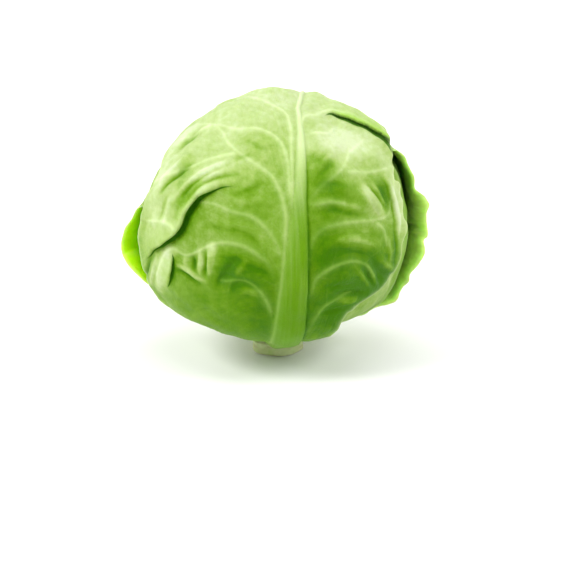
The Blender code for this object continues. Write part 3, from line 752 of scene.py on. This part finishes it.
def vein_fields(across, along, leaf, name):
    """The fine relief of the midrib and the veins, and how much of each there is at every place."""
    veins = FRONT_VEINS if name == "leaf_front" else grown_veins(leaf["seed"])
    off_rib, up_leaf, rib_side = near_line(across, along, leaf["midrib"])
    edge = np.interp(np.degrees(along), *zip(*RIB_EDGE))
    stepped = (rib_side > 0) & (name == "leaf_front")
    cap = 1.0 - RIB_ROUNDING * np.clip(off_rib / edge, 0.0, 1.0) ** 2
    sharp = cap * (1.0 - smooth_between(0.0, RIB_STEP, off_rib - edge))
    gentle = cap * (1.0 - smooth_between(*RIB_SLOPE, off_rib / edge))
    profile = np.where(stepped, sharp, gentle)
    height = (RIB_BASE_HEIGHT * (1.0 - up_leaf) ** 1.5 + RIB_TIP_HEIGHT) * profile
    vein = profile * smooth_between(*PALE_RIB, np.degrees(along))
    nearest = np.maximum(off_rib - edge, 0.0)
    weight_sum = np.full(across.shape, 1e-9)
    level_sum = np.zeros(across.shape)
    for number, (points, rise) in enumerate(veins):
        distance, share, _ = near_line(across, along, rounded(points))
        # A vein grows out of the midrib, and narrower and fainter towards its end
        risen = smooth_between(-0.02, rise, share)
        fade = (1.0 - 0.75 * share) * risen
        narrow = bell(distance, CORE_HALF_WIDTH * (1.25 - 0.6 * share))
        halo = bell(distance, HALO_HALF_WIDTH * (1.2 - 0.6 * share))
        broad = bell(distance, VEIN_HALF_WIDTH)
        height = np.maximum(height, (VEIN_HEIGHT * broad + CORE_HEIGHT * narrow) * fade)
        vein = np.maximum(vein, (0.62 * narrow + 0.38 * halo) * (0.3 + 0.7 * fade) * risen)
        nearest = np.minimum(nearest, distance)
        same_side = np.sign(points[-1][0]) == rib_side
        weight = same_side / (distance * MM + 0.7) ** 2
        weight_sum += weight
        level_sum += weight * number
    pillow = PILLOW_HEIGHT * (1.0 - bell(nearest, PILLOW_REACH))
    twig = np.zeros(across.shape)
    for points in grown_twigs([points for points, _ in veins], leaf["seed"]):
        distance, share, _ = near_line(across, along, points)
        twig = np.maximum(twig, bell(distance, TWIG_HALF_WIDTH) * (1.0 - 0.7 * share))
    twig *= 1.0 - profile
    streak = streaks(across, along, level_sum / weight_sum)
    streak *= (1.0 - bell(nearest, STREAKS_FREE)) * (1.0 - profile)
    relief = (height + pillow + TWIG_HEIGHT * twig + STREAK_HEIGHT * streak) * leaf["rib"]
    # A line of painted shade beside the front leaf's midrib step, on its right
    step_shade = bell(off_rib - edge - RIB_STEP, RIB_STEP) * stepped
    step_shade *= 1.0 - smooth_between(*SHADE_END, np.degrees(along))
    return relief, {"vein": vein, "twig": twig, "rib": profile, "streak": streak, "rib_edge": step_shade}


def line_relief(across, along, lines, half_width):
    """Ridges and furrows along lines of points, lower towards both ends."""
    total = np.zeros(across.shape)
    for points, height in lines:
        distance, share, _ = near_line(across, along, rounded(points))
        total += height * np.sin(math.pi * (0.04 + 0.92 * share)) * bell(distance, half_width)
    return total


def over_fold(across, along, points):
    """How far each place lies on a fold's lapping side, in metres, below 0 on the other, and its share."""
    distance, share, side = near_line(across, along, rounded(points))
    return distance * side, share


def lap_fields(across, along, outer):
    """The deep folds: the blade's height, its shifts both ways, its shadow, and what its material reads."""
    height, carried_across, carried_along, shadow, seen, lip = np.zeros((6, *across.shape))
    nearest = np.full(across.shape, FAR)
    below_lip = np.full(across.shape, FAR)
    small = SLOPE_PROBE / HEART_RADIUS
    for lap in FRONT_LAPS:
        over, share = over_fold(across, along, lap["points"])
        grown = smooth_between(0.0, lap["growth"], share) * smooth_between(0.0, lap["ending"], 1.0 - share)
        lean = lap["overhang"] * grown
        start = lean - LAP_TURN / 2.0 if outer else lean + LAP_TURN / 2.0
        lapping = smooth_between(0.0, LAP_TURN, over - start)
        step = (1.0 - LAP_SINK) * lapping - LAP_SINK * (1.0 - lapping)
        height += lap["rise"] * grown * np.exp(-np.abs(over) / lap["reach"]) * step
        # Only the outer face is carried over the fold, so that the lip is thick and closed
        if outer:
            carried = lean * lapping * np.exp(-np.maximum(over - lean, 0.0) / LAP_LEAN)
            towards_x = over_fold(across + small, along, lap["points"])[0] - over
            towards_y = over_fold(across, along + small, lap["points"])[0] - over
            length = np.hypot(towards_x, towards_y) + 1e-12
            carried_across -= carried * towards_x / length / HEART_RADIUS
            carried_along -= carried * towards_y / length / HEART_RADIUS
            beside = np.exp(np.minimum(over, 0.0) / SHADOW_REACH) * (1.0 - lapping)
            shadow = np.maximum(shadow, lap["shadow"] * grown * beside)
            beyond = np.exp(-np.maximum(over - start, 0.0) / LIP_REACH)
            lip = np.maximum(lip, lap["green_lip"] * grown * lapping * beyond)
            # The nearest fold, and where the painted shade in its gap runs and how much of it shows
            closer = np.abs(over) < np.abs(nearest)
            nearest = np.where(closer, over, nearest)
            below_lip = np.where(closer, start + GAP_SHADE_TOP - over, below_lip)
            seen = np.where(closer, smooth_between(0.0, GAP_SHADE_WHOLE, grown), seen)
    fields = {"seen": seen, "past_fold": np.clip(nearest * MM, -FOLD_FIELD, FOLD_FIELD),
              "below_lip": np.clip(below_lip * MM, -FOLD_FIELD, FOLD_FIELD), "lip": lip}
    return height, carried_across, carried_along, shadow, fields


def soft_floor(height, floor, softness=0.0004):
    """The height, kept above the floor with a soft bend."""
    return floor + softness * np.logaddexp(0.0, (height - floor) / softness)


def curled(inside, length, angle):
    """How far a margin that bends by an angle over its last length stands off, and how far it draws in."""
    along_bend = np.clip(length - inside, 0.0, length)
    angle = np.where(np.abs(angle) < 1e-3, 1e-3, angle)
    bend = angle * along_bend / length
    return length / angle * (1.0 - np.cos(bend)), along_bend - length / angle * np.sin(bend)


def margin_curl(leaf, angle):
    """How many degrees the margin bends outwards, without ruffles."""
    return read_table(round_table(leaf["curl"], 2 * OUTLINE_BLUR), angle)


def curl_angle(leaf, angle):
    """The curl at the margin in radians, with ruffles, which come only where the margin is free to curl."""
    curl = margin_curl(leaf, angle)
    ruffle = wave_sum(random.Random(leaf["seed"]), RUFFLE_WAVES, np.radians(angle))
    return np.radians(curl + leaf["ruffle"] * ruffle * np.clip(curl / RUFFLED_AT, 0.0, 1.0))


def frills(leaf, angle, inside):
    """Small waves that stand off the blade beside a margin, strongest where the margin curls most."""
    wave = wave_sum(random.Random(leaf["seed"] + 1), FRILL_WAVES, np.radians(angle))
    free = smooth_between(*FRILLED, margin_curl(leaf, angle))
    return leaf["frill"] * wave * free * np.exp(-inside / FRILL_REACH)


def disc_grid(squares):
    """A square grid spread over a disc: the angle round it in degrees, and the share of the way out."""
    steps = np.linspace(-1.0, 1.0, squares + 1)
    steps = np.sign(steps) * np.abs(steps) ** CROWDING
    a, b = np.meshgrid(steps, steps)
    wide = np.abs(a) >= np.abs(b)
    share = np.where(wide, np.abs(a), np.abs(b))
    safe = np.maximum(share, 1e-9)
    across_turn = np.where(a >= 0, 45.0 * b / safe, 180.0 - 45.0 * b / safe)
    along_turn = np.where(b >= 0, 90.0 - 45.0 * a / safe, 270.0 + 45.0 * a / safe)
    return np.where(wide, across_turn, along_turn), share


def names_before(name):
    """The leaves that lie under this one."""
    return list(LEAVES)[:list(LEAVES).index(name)]


def names_after(name):
    """The leaves that lie over this one."""
    return list(LEAVES)[list(LEAVES).index(name) + 1:]


def soft_patches(across, along, patches):
    """The sum of soft areas, each one strongest at its middle."""
    total = np.zeros(across.shape)
    for x, y, reach_across, reach_along, amount in patches:
        away = ((np.degrees(across) - x) / reach_across) ** 2 + ((np.degrees(along) - y) / reach_along) ** 2
        total += amount * np.exp(-away)
    return total


def leaf_face(name, squares, outer):
    """A blade's outer or inner face: its points, and the fields that its material reads."""
    leaf = LEAVES[name]
    angle, share = disc_grid(squares)
    margin, slant = outline_of(leaf)
    edge = read_table(margin, angle) + frayed(leaf, angle)
    round_edge = np.radians(read_table(round_table(leaf["outline"], ROUND_BLUR), angle))
    arc = round_edge * share + (edge - round_edge) * share ** EDGE_HOLD
    lean = read_table(slant, angle)
    turn = np.radians(angle)
    across, along = arc * np.cos(turn), arc * np.sin(turn)
    direction = direction_at(leaf["azimuth"], across, along)
    free = np.ones(angle.shape)
    for other in names_after(name):
        free *= 1.0 - cover(LEAVES[other], direction, COVERED_TO, FREE_FROM)
    inside = (edge - arc) * np.cos(lean) * HEART_RADIUS
    stand_off, draw_in = curled(inside, leaf["curl_length"], curl_angle(leaf, angle) * free)
    across = across - draw_in / HEART_RADIUS * np.cos(turn - lean)
    along = along - draw_in / HEART_RADIUS * np.sin(turn - lean)
    relief, fields = vein_fields(across, along, leaf, name)
    shift_across, shift_along = 0.0, 0.0
    # The tone starts with the painted shade beside the midrib's step
    tone = RIB_SHADE * fields["rib_edge"]
    fold = np.zeros(angle.shape)
    fields.update(dict.fromkeys(("seen", "past_fold", "below_lip", "lip"), fold))
    if name == "leaf_front":
        lap, shift_across, shift_along, shadow, lap_reads = lap_fields(across, along, outer)
        fields.update(lap_reads)
        fold = line_relief(across, along, FRONT_CREASES, CREASE_HALF_WIDTH)
        fold += line_relief(across, along, FRONT_PUCKERS, PUCKER_HALF_WIDTH)
        relief += fold + lap
        # The tone adds the soft areas with their painted light and shade, and takes off the painted shadow
        # beside the deep folds
        tone += soft_patches(across, along, FRONT_TONES_AND_SHADING) - shadow
    relief = soft_floor(leaf["lift"] + relief, DEEPEST) * (COVERED_RELIEF + (1.0 - COVERED_RELIEF) * free)
    direction = direction_at(leaf["azimuth"], across + shift_across, along + shift_along)
    radius = heart_radius(direction) + LAYER + relief + stand_off
    radius += waves_over(direction, 11, RIPPLE, RIPPLE_LENGTH) + frills(leaf, angle, inside)
    for other in names_before(name):
        radius += LAYER * cover(LEAVES[other], direction, RISE_TO, LEAVES[other]["rise"])
    points = direction * radius[..., None] + np.array([0.0, 0.0, CENTRE_HEIGHT])
    thickness = BLADE - (BLADE - MARGIN_BLADE) * np.exp(-inside / MARGIN_TAPER)
    offset = grid_normals(points) * (thickness / 2.0 if outer else -thickness / 2.0)[..., None]
    fields.update({
        "place": np.stack([across * HEART_RADIUS * MM, along * HEART_RADIUS * MM, np.zeros(angle.shape)], -1),
        "rim": np.exp(-inside / RIM_REACH),
        "inner": np.full(angle.shape, 0.0 if outer else 1.0),
        "tone": tone,
        # The folds' relief, clipped, which the material paints as highlight on ridges and shade in furrows
        "fold": np.clip(fold * MM, *FOLD_SHADE_RANGE),
        "border": np.exp(-inside / LIT_BORDER_REACH),
    })
    return points + offset, fields


def grid_normals(points):
    """The outward directions at the points of a face's grid."""
    down = np.gradient(points, axis=0)
    across = np.gradient(points, axis=1)
    normals = np.cross(across, down)
    return normals / np.linalg.norm(normals, axis=-1, keepdims=True)


def grid_triangles(points):
    """A grid's triangles, each square cut along its shorter diagonal."""
    rows, columns = points.shape[:2]
    number = np.arange(rows * columns).reshape(rows, columns)
    a, b = number[:-1, :-1].ravel(), number[:-1, 1:].ravel()
    c, d = number[1:, 1:].ravel(), number[1:, :-1].ravel()
    flat = points.reshape(-1, 3)
    shorter = np.linalg.norm(flat[a] - flat[c], axis=1) <= np.linalg.norm(flat[b] - flat[d], axis=1)
    first = np.where(shorter[:, None], np.stack([a, b, c], 1), np.stack([a, b, d], 1))
    second = np.where(shorter[:, None], np.stack([a, c, d], 1), np.stack([b, c, d], 1))
    return np.concatenate([first, second])


def grid_rim(points):
    """The numbers of a grid's outermost points, once round."""
    rows, columns = points.shape[:2]
    number = np.arange(rows * columns).reshape(rows, columns)
    return np.concatenate([number[0, :-1], number[:-1, -1], number[-1, :0:-1], number[:0:-1, 0]])


def blade(name):
    """A closed blade: a fine outer face, a coarser inner face, and the strip that joins them."""
    outer, outer_fields = leaf_face(name, SQUARES[name], True)
    inner, inner_fields = leaf_face(name, SQUARES[name] // INNER_STEP, False)
    first_inner = outer.shape[0] * outer.shape[1]
    outer_rim, inner_rim = grid_rim(outer), grid_rim(inner) + first_inner
    strip = []
    for number, (near, following) in enumerate(zip(inner_rim, np.roll(inner_rim, -1))):
        fine = [outer_rim[(number * INNER_STEP + step) % len(outer_rim)] for step in range(INNER_STEP + 1)]
        strip += [(after, before, near) for before, after in zip(fine[:-1], fine[1:])]
        strip.append((fine[-1], near, following))
    faces = np.concatenate([grid_triangles(outer), grid_triangles(inner)[:, ::-1] + first_inner, strip])
    vertices = np.concatenate([outer.reshape(-1, 3), inner.reshape(-1, 3)])
    fields = {}
    for key, values in outer_fields.items():
        width = values.shape[2:]
        fields[key] = np.concatenate([values.reshape(-1, *width), inner_fields[key].reshape(-1, *width)])
    return vertices, faces, fields


def closed_rings(rows, sides):
    """The triangles of rings of points that go up, and of a last point under and one over them."""
    number = np.arange(rows * sides).reshape(rows, sides)
    beside = np.roll(number, -1, axis=1)
    a, b, c, d = number[:-1].ravel(), beside[:-1].ravel(), beside[1:].ravel(), number[1:].ravel()
    bottom = np.stack([beside[0], number[0], np.full(sides, rows * sides)], 1)
    top = np.stack([number[-1], beside[-1], np.full(sides, rows * sides + 1)], 1)
    return np.concatenate([np.stack([a, b, c], 1), np.stack([a, c, d], 1), bottom, top])


def add_object(name, data):
    """A new object of the scene."""
    item = bpy.data.objects.new(name, data)
    bpy.context.scene.collection.objects.link(item)
    return item


def add_piece(name, vertices, faces, fields, node):
    """A piece that stands for a solid, with its fields as attributes that the material reads."""
    mesh = bpy.data.meshes.new(name)
    mesh.from_pydata(vertices.tolist(), [], faces.tolist())
    mesh.validate()
    mesh.shade_smooth()
    for key, values in fields.items():
        vector = values.ndim == 2
        attribute = mesh.attributes.new(key, "FLOAT_VECTOR" if vector else "FLOAT", "POINT")
        attribute.data.foreach_set("vector" if vector else "value", values.astype(np.float32).ravel())
    item = add_object(name, mesh)
    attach(item, "root")
    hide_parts(node)
    return item


class Shader:
    """A material's nodes, added one by one with their inputs."""

    def __init__(self, name):
        self.material = bpy.data.materials.new(name)
        self.material.use_nodes = True
        self.tree = self.material.node_tree
        self.principled = self.tree.nodes["Principled BSDF"]

    def set(self, node, inputs):
        for key, value in inputs.items():
            socket = node.inputs[key]
            if isinstance(value, bpy.types.NodeSocket):
                self.tree.links.new(value, socket)
            else:
                socket.default_value = value

    def add(self, kind, inputs, **settings):
        node = self.tree.nodes.new(kind)
        for key, value in settings.items():
            setattr(node, key, value)
        self.set(node, inputs)
        return node

    def attribute(self, name, output="Fac"):
        return self.add("ShaderNodeAttribute", {}, attribute_name=name).outputs[output]

    def math(self, operation, a, b=0.0, clamp=False):
        return self.add("ShaderNodeMath", {0: a, 1: b}, operation=operation, use_clamp=clamp).outputs[0]

    def plus(self, a, b, clamp=False):
        return self.math("ADD", a, b, clamp)

    def times(self, a, b, clamp=False):
        return self.math("MULTIPLY", a, b, clamp)

    def noise(self, vector, scale, detail=3.0, roughness=0.5):
        inputs = {"Vector": vector, "Scale": scale, "Detail": detail, "Roughness": roughness}
        return self.add("ShaderNodeTexNoise", inputs).outputs["Fac"]

    def stretched(self, vector, scale):
        return self.add("ShaderNodeMapping", {"Vector": vector, "Scale": scale}).outputs["Vector"]

    def ramp(self, factor, stops):
        node = self.add("ShaderNodeValToRGB", {"Fac": factor})
        elements = node.color_ramp.elements
        while len(elements) < len(stops):
            elements.new(0.5)
        for element, (position, colour) in zip(elements, stops):
            element.position = position
            element.color = (*colour, 1.0)
        return node.outputs["Color"]

    def mix(self, factor, a, b):
        node = self.add("ShaderNodeMix", {}, data_type="RGBA")
        self.set(node, {0: factor, 6: a, 7: b})
        return node.outputs[2]

    def bump(self, height, distance, normal=None, strength=1.0):
        inputs = {"Height": height, "Distance": distance, "Strength": strength}
        if normal is not None:
            inputs["Normal"] = normal
        return self.add("ShaderNodeBump", inputs).outputs["Normal"]


def leaf_material(name, tone, inner_colour, shaded_brightness, glow):
    """A waxy leaf: mottled green, paler along its veins and its rim, with painted highlight and shade on its
    folds and painted shade in the folds' gaps. Its inner face is brighter, painted with light that shines
    through it, and darker away from its border, painted with the shade between the leaves.

    The places it reads are in mm of blade, so its scales are per mm.
    """
    s = Shader(name)
    place = s.attribute("place", "Vector")
    vein = s.attribute("vein")
    rib = s.attribute("rib")
    rim = s.attribute("rim")
    broad = s.plus(s.noise(place, 0.045), -0.5)
    patchy = s.times(s.plus(s.noise(place, 0.22, 4.0), -0.5), s.math("SUBTRACT", 1.0, rib))
    grain = s.plus(s.noise(place, 1.1, 3.0, 0.6), -0.5)
    total = s.plus(s.attribute("tone"), tone)
    # The tone takes in the fold relief as painted highlight on ridges and painted shade in furrows
    for part, amount in ((broad, 0.35), (patchy, 0.36), (grain, 0.12), (s.attribute("streak"), 0.04),
                         (s.attribute("fold"), 0.36)):
        total = s.plus(total, s.times(part, amount))
    pale = s.ramp(total, VEIN_GREENS)
    fibre = s.times(s.plus(s.noise(s.stretched(place, (0.5, 0.02, 1.0)), 1.0), -0.42), 1.3, clamp=True)
    bloom = s.times(s.noise(place, 0.09, 5.0, 0.6), s.times(s.plus(total, -0.3), 0.22, clamp=True))
    # Painted shade in the folds' gaps, dark under the lips where shade falls
    gap_shade = s.attribute("seen")
    for key in ("past_fold", "below_lip"):
        gap_shade = s.times(gap_shade, s.plus(s.times(s.attribute(key), GAP_SHADE_SHARPNESS), 0.5, clamp=True))
    colour = s.mix(s.times(s.attribute("twig"), 0.15), s.ramp(total, GREENS), pale)
    colour = s.mix(s.times(rib, 0.7), colour, s.mix(fibre, RIB_COLOUR, pale))
    colour = s.mix(s.times(vein, 0.9, clamp=True), colour, pale)
    colour = s.mix(bloom, colour, BLOOM_COLOUR)
    colour = s.mix(s.attribute("lip"), colour, LIP_COLOUR)
    colour = s.mix(s.times(gap_shade, 0.9), colour, GAP_SHADE_COLOUR)
    colour = s.mix(s.times(rim, 0.6), colour, RIM_COLOUR)
    # The inner face: painted light along its border, painted shade away from it
    lit = s.plus(s.attribute("border"), s.times(patchy, 0.6), clamp=True)
    inside = s.mix(lit, (*(shaded_brightness * part for part in inner_colour), 1.0), (*inner_colour, 1.0))
    inside = s.mix(s.times(vein, 0.5), inside, pale)
    inside = s.mix(s.times(rim, 0.5), inside, RIM_COLOUR)
    net = s.add("ShaderNodeTexVoronoi", {"Vector": place, "Scale": 0.42}, feature="DISTANCE_TO_EDGE")
    crinkle = s.noise(s.stretched(place, (0.9, 0.28, 1.0)), 0.9, 4.0, 0.6)
    normal = s.bump(s.math("MINIMUM", net.outputs["Distance"], 0.18), 0.0006, strength=0.26)
    normal = s.bump(s.plus(s.plus(grain, patchy), crinkle), 0.0006, normal, 0.5)
    s.set(s.principled, {
        "Base Color": s.mix(s.attribute("inner"), colour, inside),
        "Roughness": s.plus(s.plus(0.47, s.times(patchy, 0.30)), s.times(gap_shade, 0.5)),
        "Normal": normal,
        "Subsurface Weight": glow,
        "Subsurface Radius": (0.5, 1.0, 0.1),
        "Subsurface Scale": 0.0025,
        "Specular IOR Level": 0.10,
        "Specular Tint": (0.75, 1.00, 0.15, 1.0),
    })
    return s.material


def heart_material():
    """Paler green with soft patches."""
    s = Shader("heart_leaves")
    place = s.add("ShaderNodeTexCoord", {}).outputs["Object"]
    patchy = s.noise(place, 60.0, 4.0)
    fine = s.noise(place, 600.0, 3.0)
    colour = s.ramp(patchy, ((0.3, (0.42, 0.62, 0.12)), (0.7, (0.66, 0.80, 0.34))))
    s.set(s.principled, {
        "Base Color": s.mix(s.times(fine, 0.2), colour, BLOOM_COLOUR),
        "Roughness": s.plus(0.40, s.times(patchy, 0.15)),
        "Normal": s.bump(fine, 0.0003, strength=0.4),
        "Specular IOR Level": 0.42,
    })
    return s.material


def stalk_material():
    """Cream flesh on the cut face and green skin, darker in the ring of fibres and in the scars."""
    s = Shader("stalk_flesh")
    place = s.add("ShaderNodeTexCoord", {}).outputs["Object"]
    fibres = s.noise(s.stretched(place, (1.0, 1.0, 0.15)), 700.0, 4.0, 0.6)
    patchy = s.noise(place, 150.0, 3.0)
    flesh = s.ramp(patchy, ((0.3, (0.74, 0.76, 0.50)), (0.7, (0.84, 0.84, 0.64))))
    skin = s.ramp(patchy, ((0.3, (0.50, 0.64, 0.22)), (0.7, (0.70, 0.78, 0.42))))
    colour = s.mix(s.attribute("skin"), flesh, skin)
    colour = s.mix(s.times(s.attribute("ring"), 0.6), colour, (0.62, 0.60, 0.30, 1.0))
    colour = s.mix(s.times(s.attribute("scar"), 0.55), colour, (0.42, 0.38, 0.18, 1.0))
    s.set(s.principled, {
        "Base Color": s.mix(s.times(fibres, 0.25), colour, (0.60, 0.58, 0.34, 1.0)),
        "Roughness": s.plus(0.50, s.times(fibres, 0.25)),
        "Normal": s.bump(fibres, 0.0003, strength=0.6),
        "Subsurface Weight": 0.10,
        "Subsurface Scale": 0.002,
    })
    return s.material


def heart():
    """The ball of inner leaves, with the margins of its outermost ones as low steps."""
    rings = np.radians(np.linspace(0, HEART_BASE_ARC, HEART_RINGS + 1))[1:]
    spokes = np.linspace(0, 2.0 * math.pi, HEART_SPOKES, endpoint=False)
    polar, turn = np.meshgrid(rings, spokes, indexing="ij")
    ball = np.stack([np.sin(polar) * np.sin(turn), -np.sin(polar) * np.cos(turn), np.cos(polar)], -1)
    ball = np.concatenate([ball.reshape(-1, 3), [[0.0, 0.0, 1.0], [0.0, 0.0, -1.0]]])
    radius = heart_radius(ball) + waves_over(ball, 11, RIPPLE, RIPPLE_LENGTH)
    for azimuth, reach in HEART_LEAVES:
        arc, _ = place_on_leaf(azimuth, ball)
        radius -= HEART_STEP * smooth_between(math.radians(reach - 1), math.radians(reach), arc)
    vertices = ball * radius[:, None] + np.array([0.0, 0.0, CENTRE_HEIGHT])
    vertices[-1, 2] = vertices[-2 - HEART_SPOKES:-2, 2].mean()
    faces = closed_rings(HEART_RINGS, HEART_SPOKES)[:, ::-1]
    piece = add_piece("heart_fine", vertices, faces, {}, "heart")
    piece.data.materials.append(heart_material())


def stalk_profile(top):
    """The stalk's radii and heights, from its cut face over the worn edge and the side to its neck."""
    slope = np.linspace(0, 1, 10)[1:]
    neck = STALK_SHOULDER_HEIGHT + STALK_SLOPE
    narrowing = STALK_NECK_RADIUS - STALK_RADIUS
    profile = [(STALK_RADIUS * share, STALK_CUT) for share in np.linspace(0.02, 0.93, 24)]
    profile += [(STALK_RADIUS * 0.965, 0.0001), (STALK_RADIUS * 0.99, 0.0005), (STALK_RADIUS, 0.0012)]
    profile += [(STALK_RADIUS, z) for z in np.linspace(0.0020, STALK_SHOULDER_HEIGHT, 14)]
    profile += [(STALK_RADIUS + narrowing * s, STALK_SHOULDER_HEIGHT + STALK_SLOPE * s) for s in slope]
    profile += [(STALK_NECK_RADIUS - 0.002 * s, neck + (top - neck) * s) for s in slope]
    return (np.array(values)[:, None] for values in zip(*profile))


def scars(turn, height):
    """How near each place is to a scar, where a trimmed leaf grew."""
    nearest = np.zeros(np.broadcast_shapes(turn.shape, height.shape))
    for number in range(SCARS):
        apart = np.arctan2(np.sin(turn - SCAR_TURN * number), np.cos(turn - SCAR_TURN * number))
        level = 0.0030 + 0.0018 * (number % 3)
        near = np.exp(-((apart / SCAR_HALF_ANGLE) ** 2) ** 2) * bell(height - level, SCAR_HALF_HEIGHT)
        nearest = np.maximum(nearest, near)
    return nearest


def stalk():
    """The cut stump, with a ring of fibres on its cut face and the scars of trimmed leaves on its side."""
    turn = np.linspace(0, 2.0 * math.pi, STALK_SIDES, endpoint=False)
    radius, height = stalk_profile(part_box("stalk")[1].z)
    side = smooth_between(0.0008, 0.0025, height) * (radius > 0.9 * STALK_NECK_RADIUS)
    scar = scars(turn, height)
    reach = radius * (1.0 + 0.03 * np.cos(5.0 * turn)) - SCAR_DEPTH * scar * side
    reach += 0.00008 * np.random.default_rng(31).normal(size=reach.shape) * side
    cut = height <= STALK_CUT
    lift = np.where(cut, 0.00025 * (1.0 + np.sin(radius * 900.0 + 2.0 * np.sin(turn))), 0.0)
    vertices = np.stack([reach * np.cos(turn), reach * np.sin(turn), height + lift], -1).reshape(-1, 3)
    vertices = np.concatenate([vertices, [[0.0, 0.0, 0.0003], [0.0, 0.0, float(height[-1, 0])]]])
    ring = bell(radius - RING_RADIUS, RING_HALF_WIDTH) * cut
    skin = smooth_between(0.0004, 0.0012, height)
    fields = {
        "ring": np.append(np.broadcast_to(ring, reach.shape), [0.0, 0.0]),
        "skin": np.append(np.broadcast_to(skin, reach.shape), [0.0, 1.0]),
        "scar": np.append(scar * side, [0.0, 0.0]),
    }
    piece = add_piece("stalk_fine", vertices, closed_rings(len(radius), STALK_SIDES), fields, "stalk")
    piece.data.materials.append(stalk_material())


def leaves():
    """The five wrapper leaves."""
    for name, looks in LEAF_LOOKS.items():
        piece = add_piece(name + "_fine", *blade(name), name)
        piece.data.materials.append(leaf_material(name + "_skin", *looks))


def add_floor():
    """A wide white floor just under the stalk."""
    turns = [2.0 * math.pi * number / FLOOR_SIDES for number in range(FLOOR_SIDES)]
    rim = [(FLOOR_RADIUS * math.cos(turn), FLOOR_RADIUS * math.sin(turn), FLOOR_HEIGHT) for turn in turns]
    mesh = bpy.data.meshes.new("floor")
    mesh.from_pydata(rim, [], [tuple(range(FLOOR_SIDES))])
    floor = add_object("floor", mesh)
    s = Shader("floor_white")
    place = s.add("ShaderNodeTexCoord", {}).outputs["Object"]
    s.set(s.principled, {
        "Base Color": s.ramp(s.noise(place, 3.0), ((0.0, (0.88, 0.88, 0.88)), (1.0, (0.92, 0.92, 0.92)))),
        "Roughness": 0.6,
        "Specular IOR Level": 0.2,
    })
    mesh.materials.append(s.material)


def add_suns():
    """The lamps, each one turned towards the head."""
    for name, (azimuth, elevation, strength, softness) in SUNS.items():
        light = bpy.data.lights.new(name, "SUN")
        light.energy = strength
        light.angle = math.radians(softness)
        toward = Vector(unit_vector(azimuth, elevation).tolist())
        add_object(name, light).rotation_euler = (-toward).to_track_quat("-Z", "Y").to_euler()


def add_world():
    """Soft light from all round, and plain white behind everything."""
    world = bpy.data.worlds.new("studio")
    world.use_nodes = True
    tree = world.node_tree
    background = tree.nodes["Background"]
    background.inputs["Color"].default_value = (1.0, 1.0, 1.0, 1.0)
    seen = tree.nodes.new("ShaderNodeLightPath")
    strength = tree.nodes.new("ShaderNodeMapRange")
    strength.inputs["To Min"].default_value = SKY_STRENGTH
    strength.inputs["To Max"].default_value = 1.0
    tree.links.new(seen.outputs["Is Camera Ray"], strength.inputs["Value"])
    tree.links.new(strength.outputs["Result"], background.inputs["Strength"])
    bpy.context.scene.world = world


def add_camera():
    """The photograph's view: the head's middle stands left of and above the picture's middle."""
    elevation = math.radians(CAMERA_ELEVATION)
    forward = Vector((0.0, math.cos(elevation), -math.sin(elevation)))
    up = Vector((0.0, math.sin(elevation), math.cos(elevation)))
    aim = Vector((AIM_RIGHT * PER_PIXEL, 0.0, CENTRE_HEIGHT)) - up * (AIM_DOWN * PER_PIXEL)
    camera = bpy.data.cameras.new("camera")
    camera.lens = 85
    camera.sensor_width = 36
    camera.clip_start = 0.01
    item = add_object("camera", camera)
    item.location = aim - forward * CAMERA_DISTANCE
    item.rotation_euler = forward.to_track_quat("-Z", "Y").to_euler()
    bpy.context.scene.camera = item


heart()
stalk()
leaves()
add_floor()
add_suns()
add_world()
add_camera()
bpy.context.scene.view_settings.view_transform = "Standard"
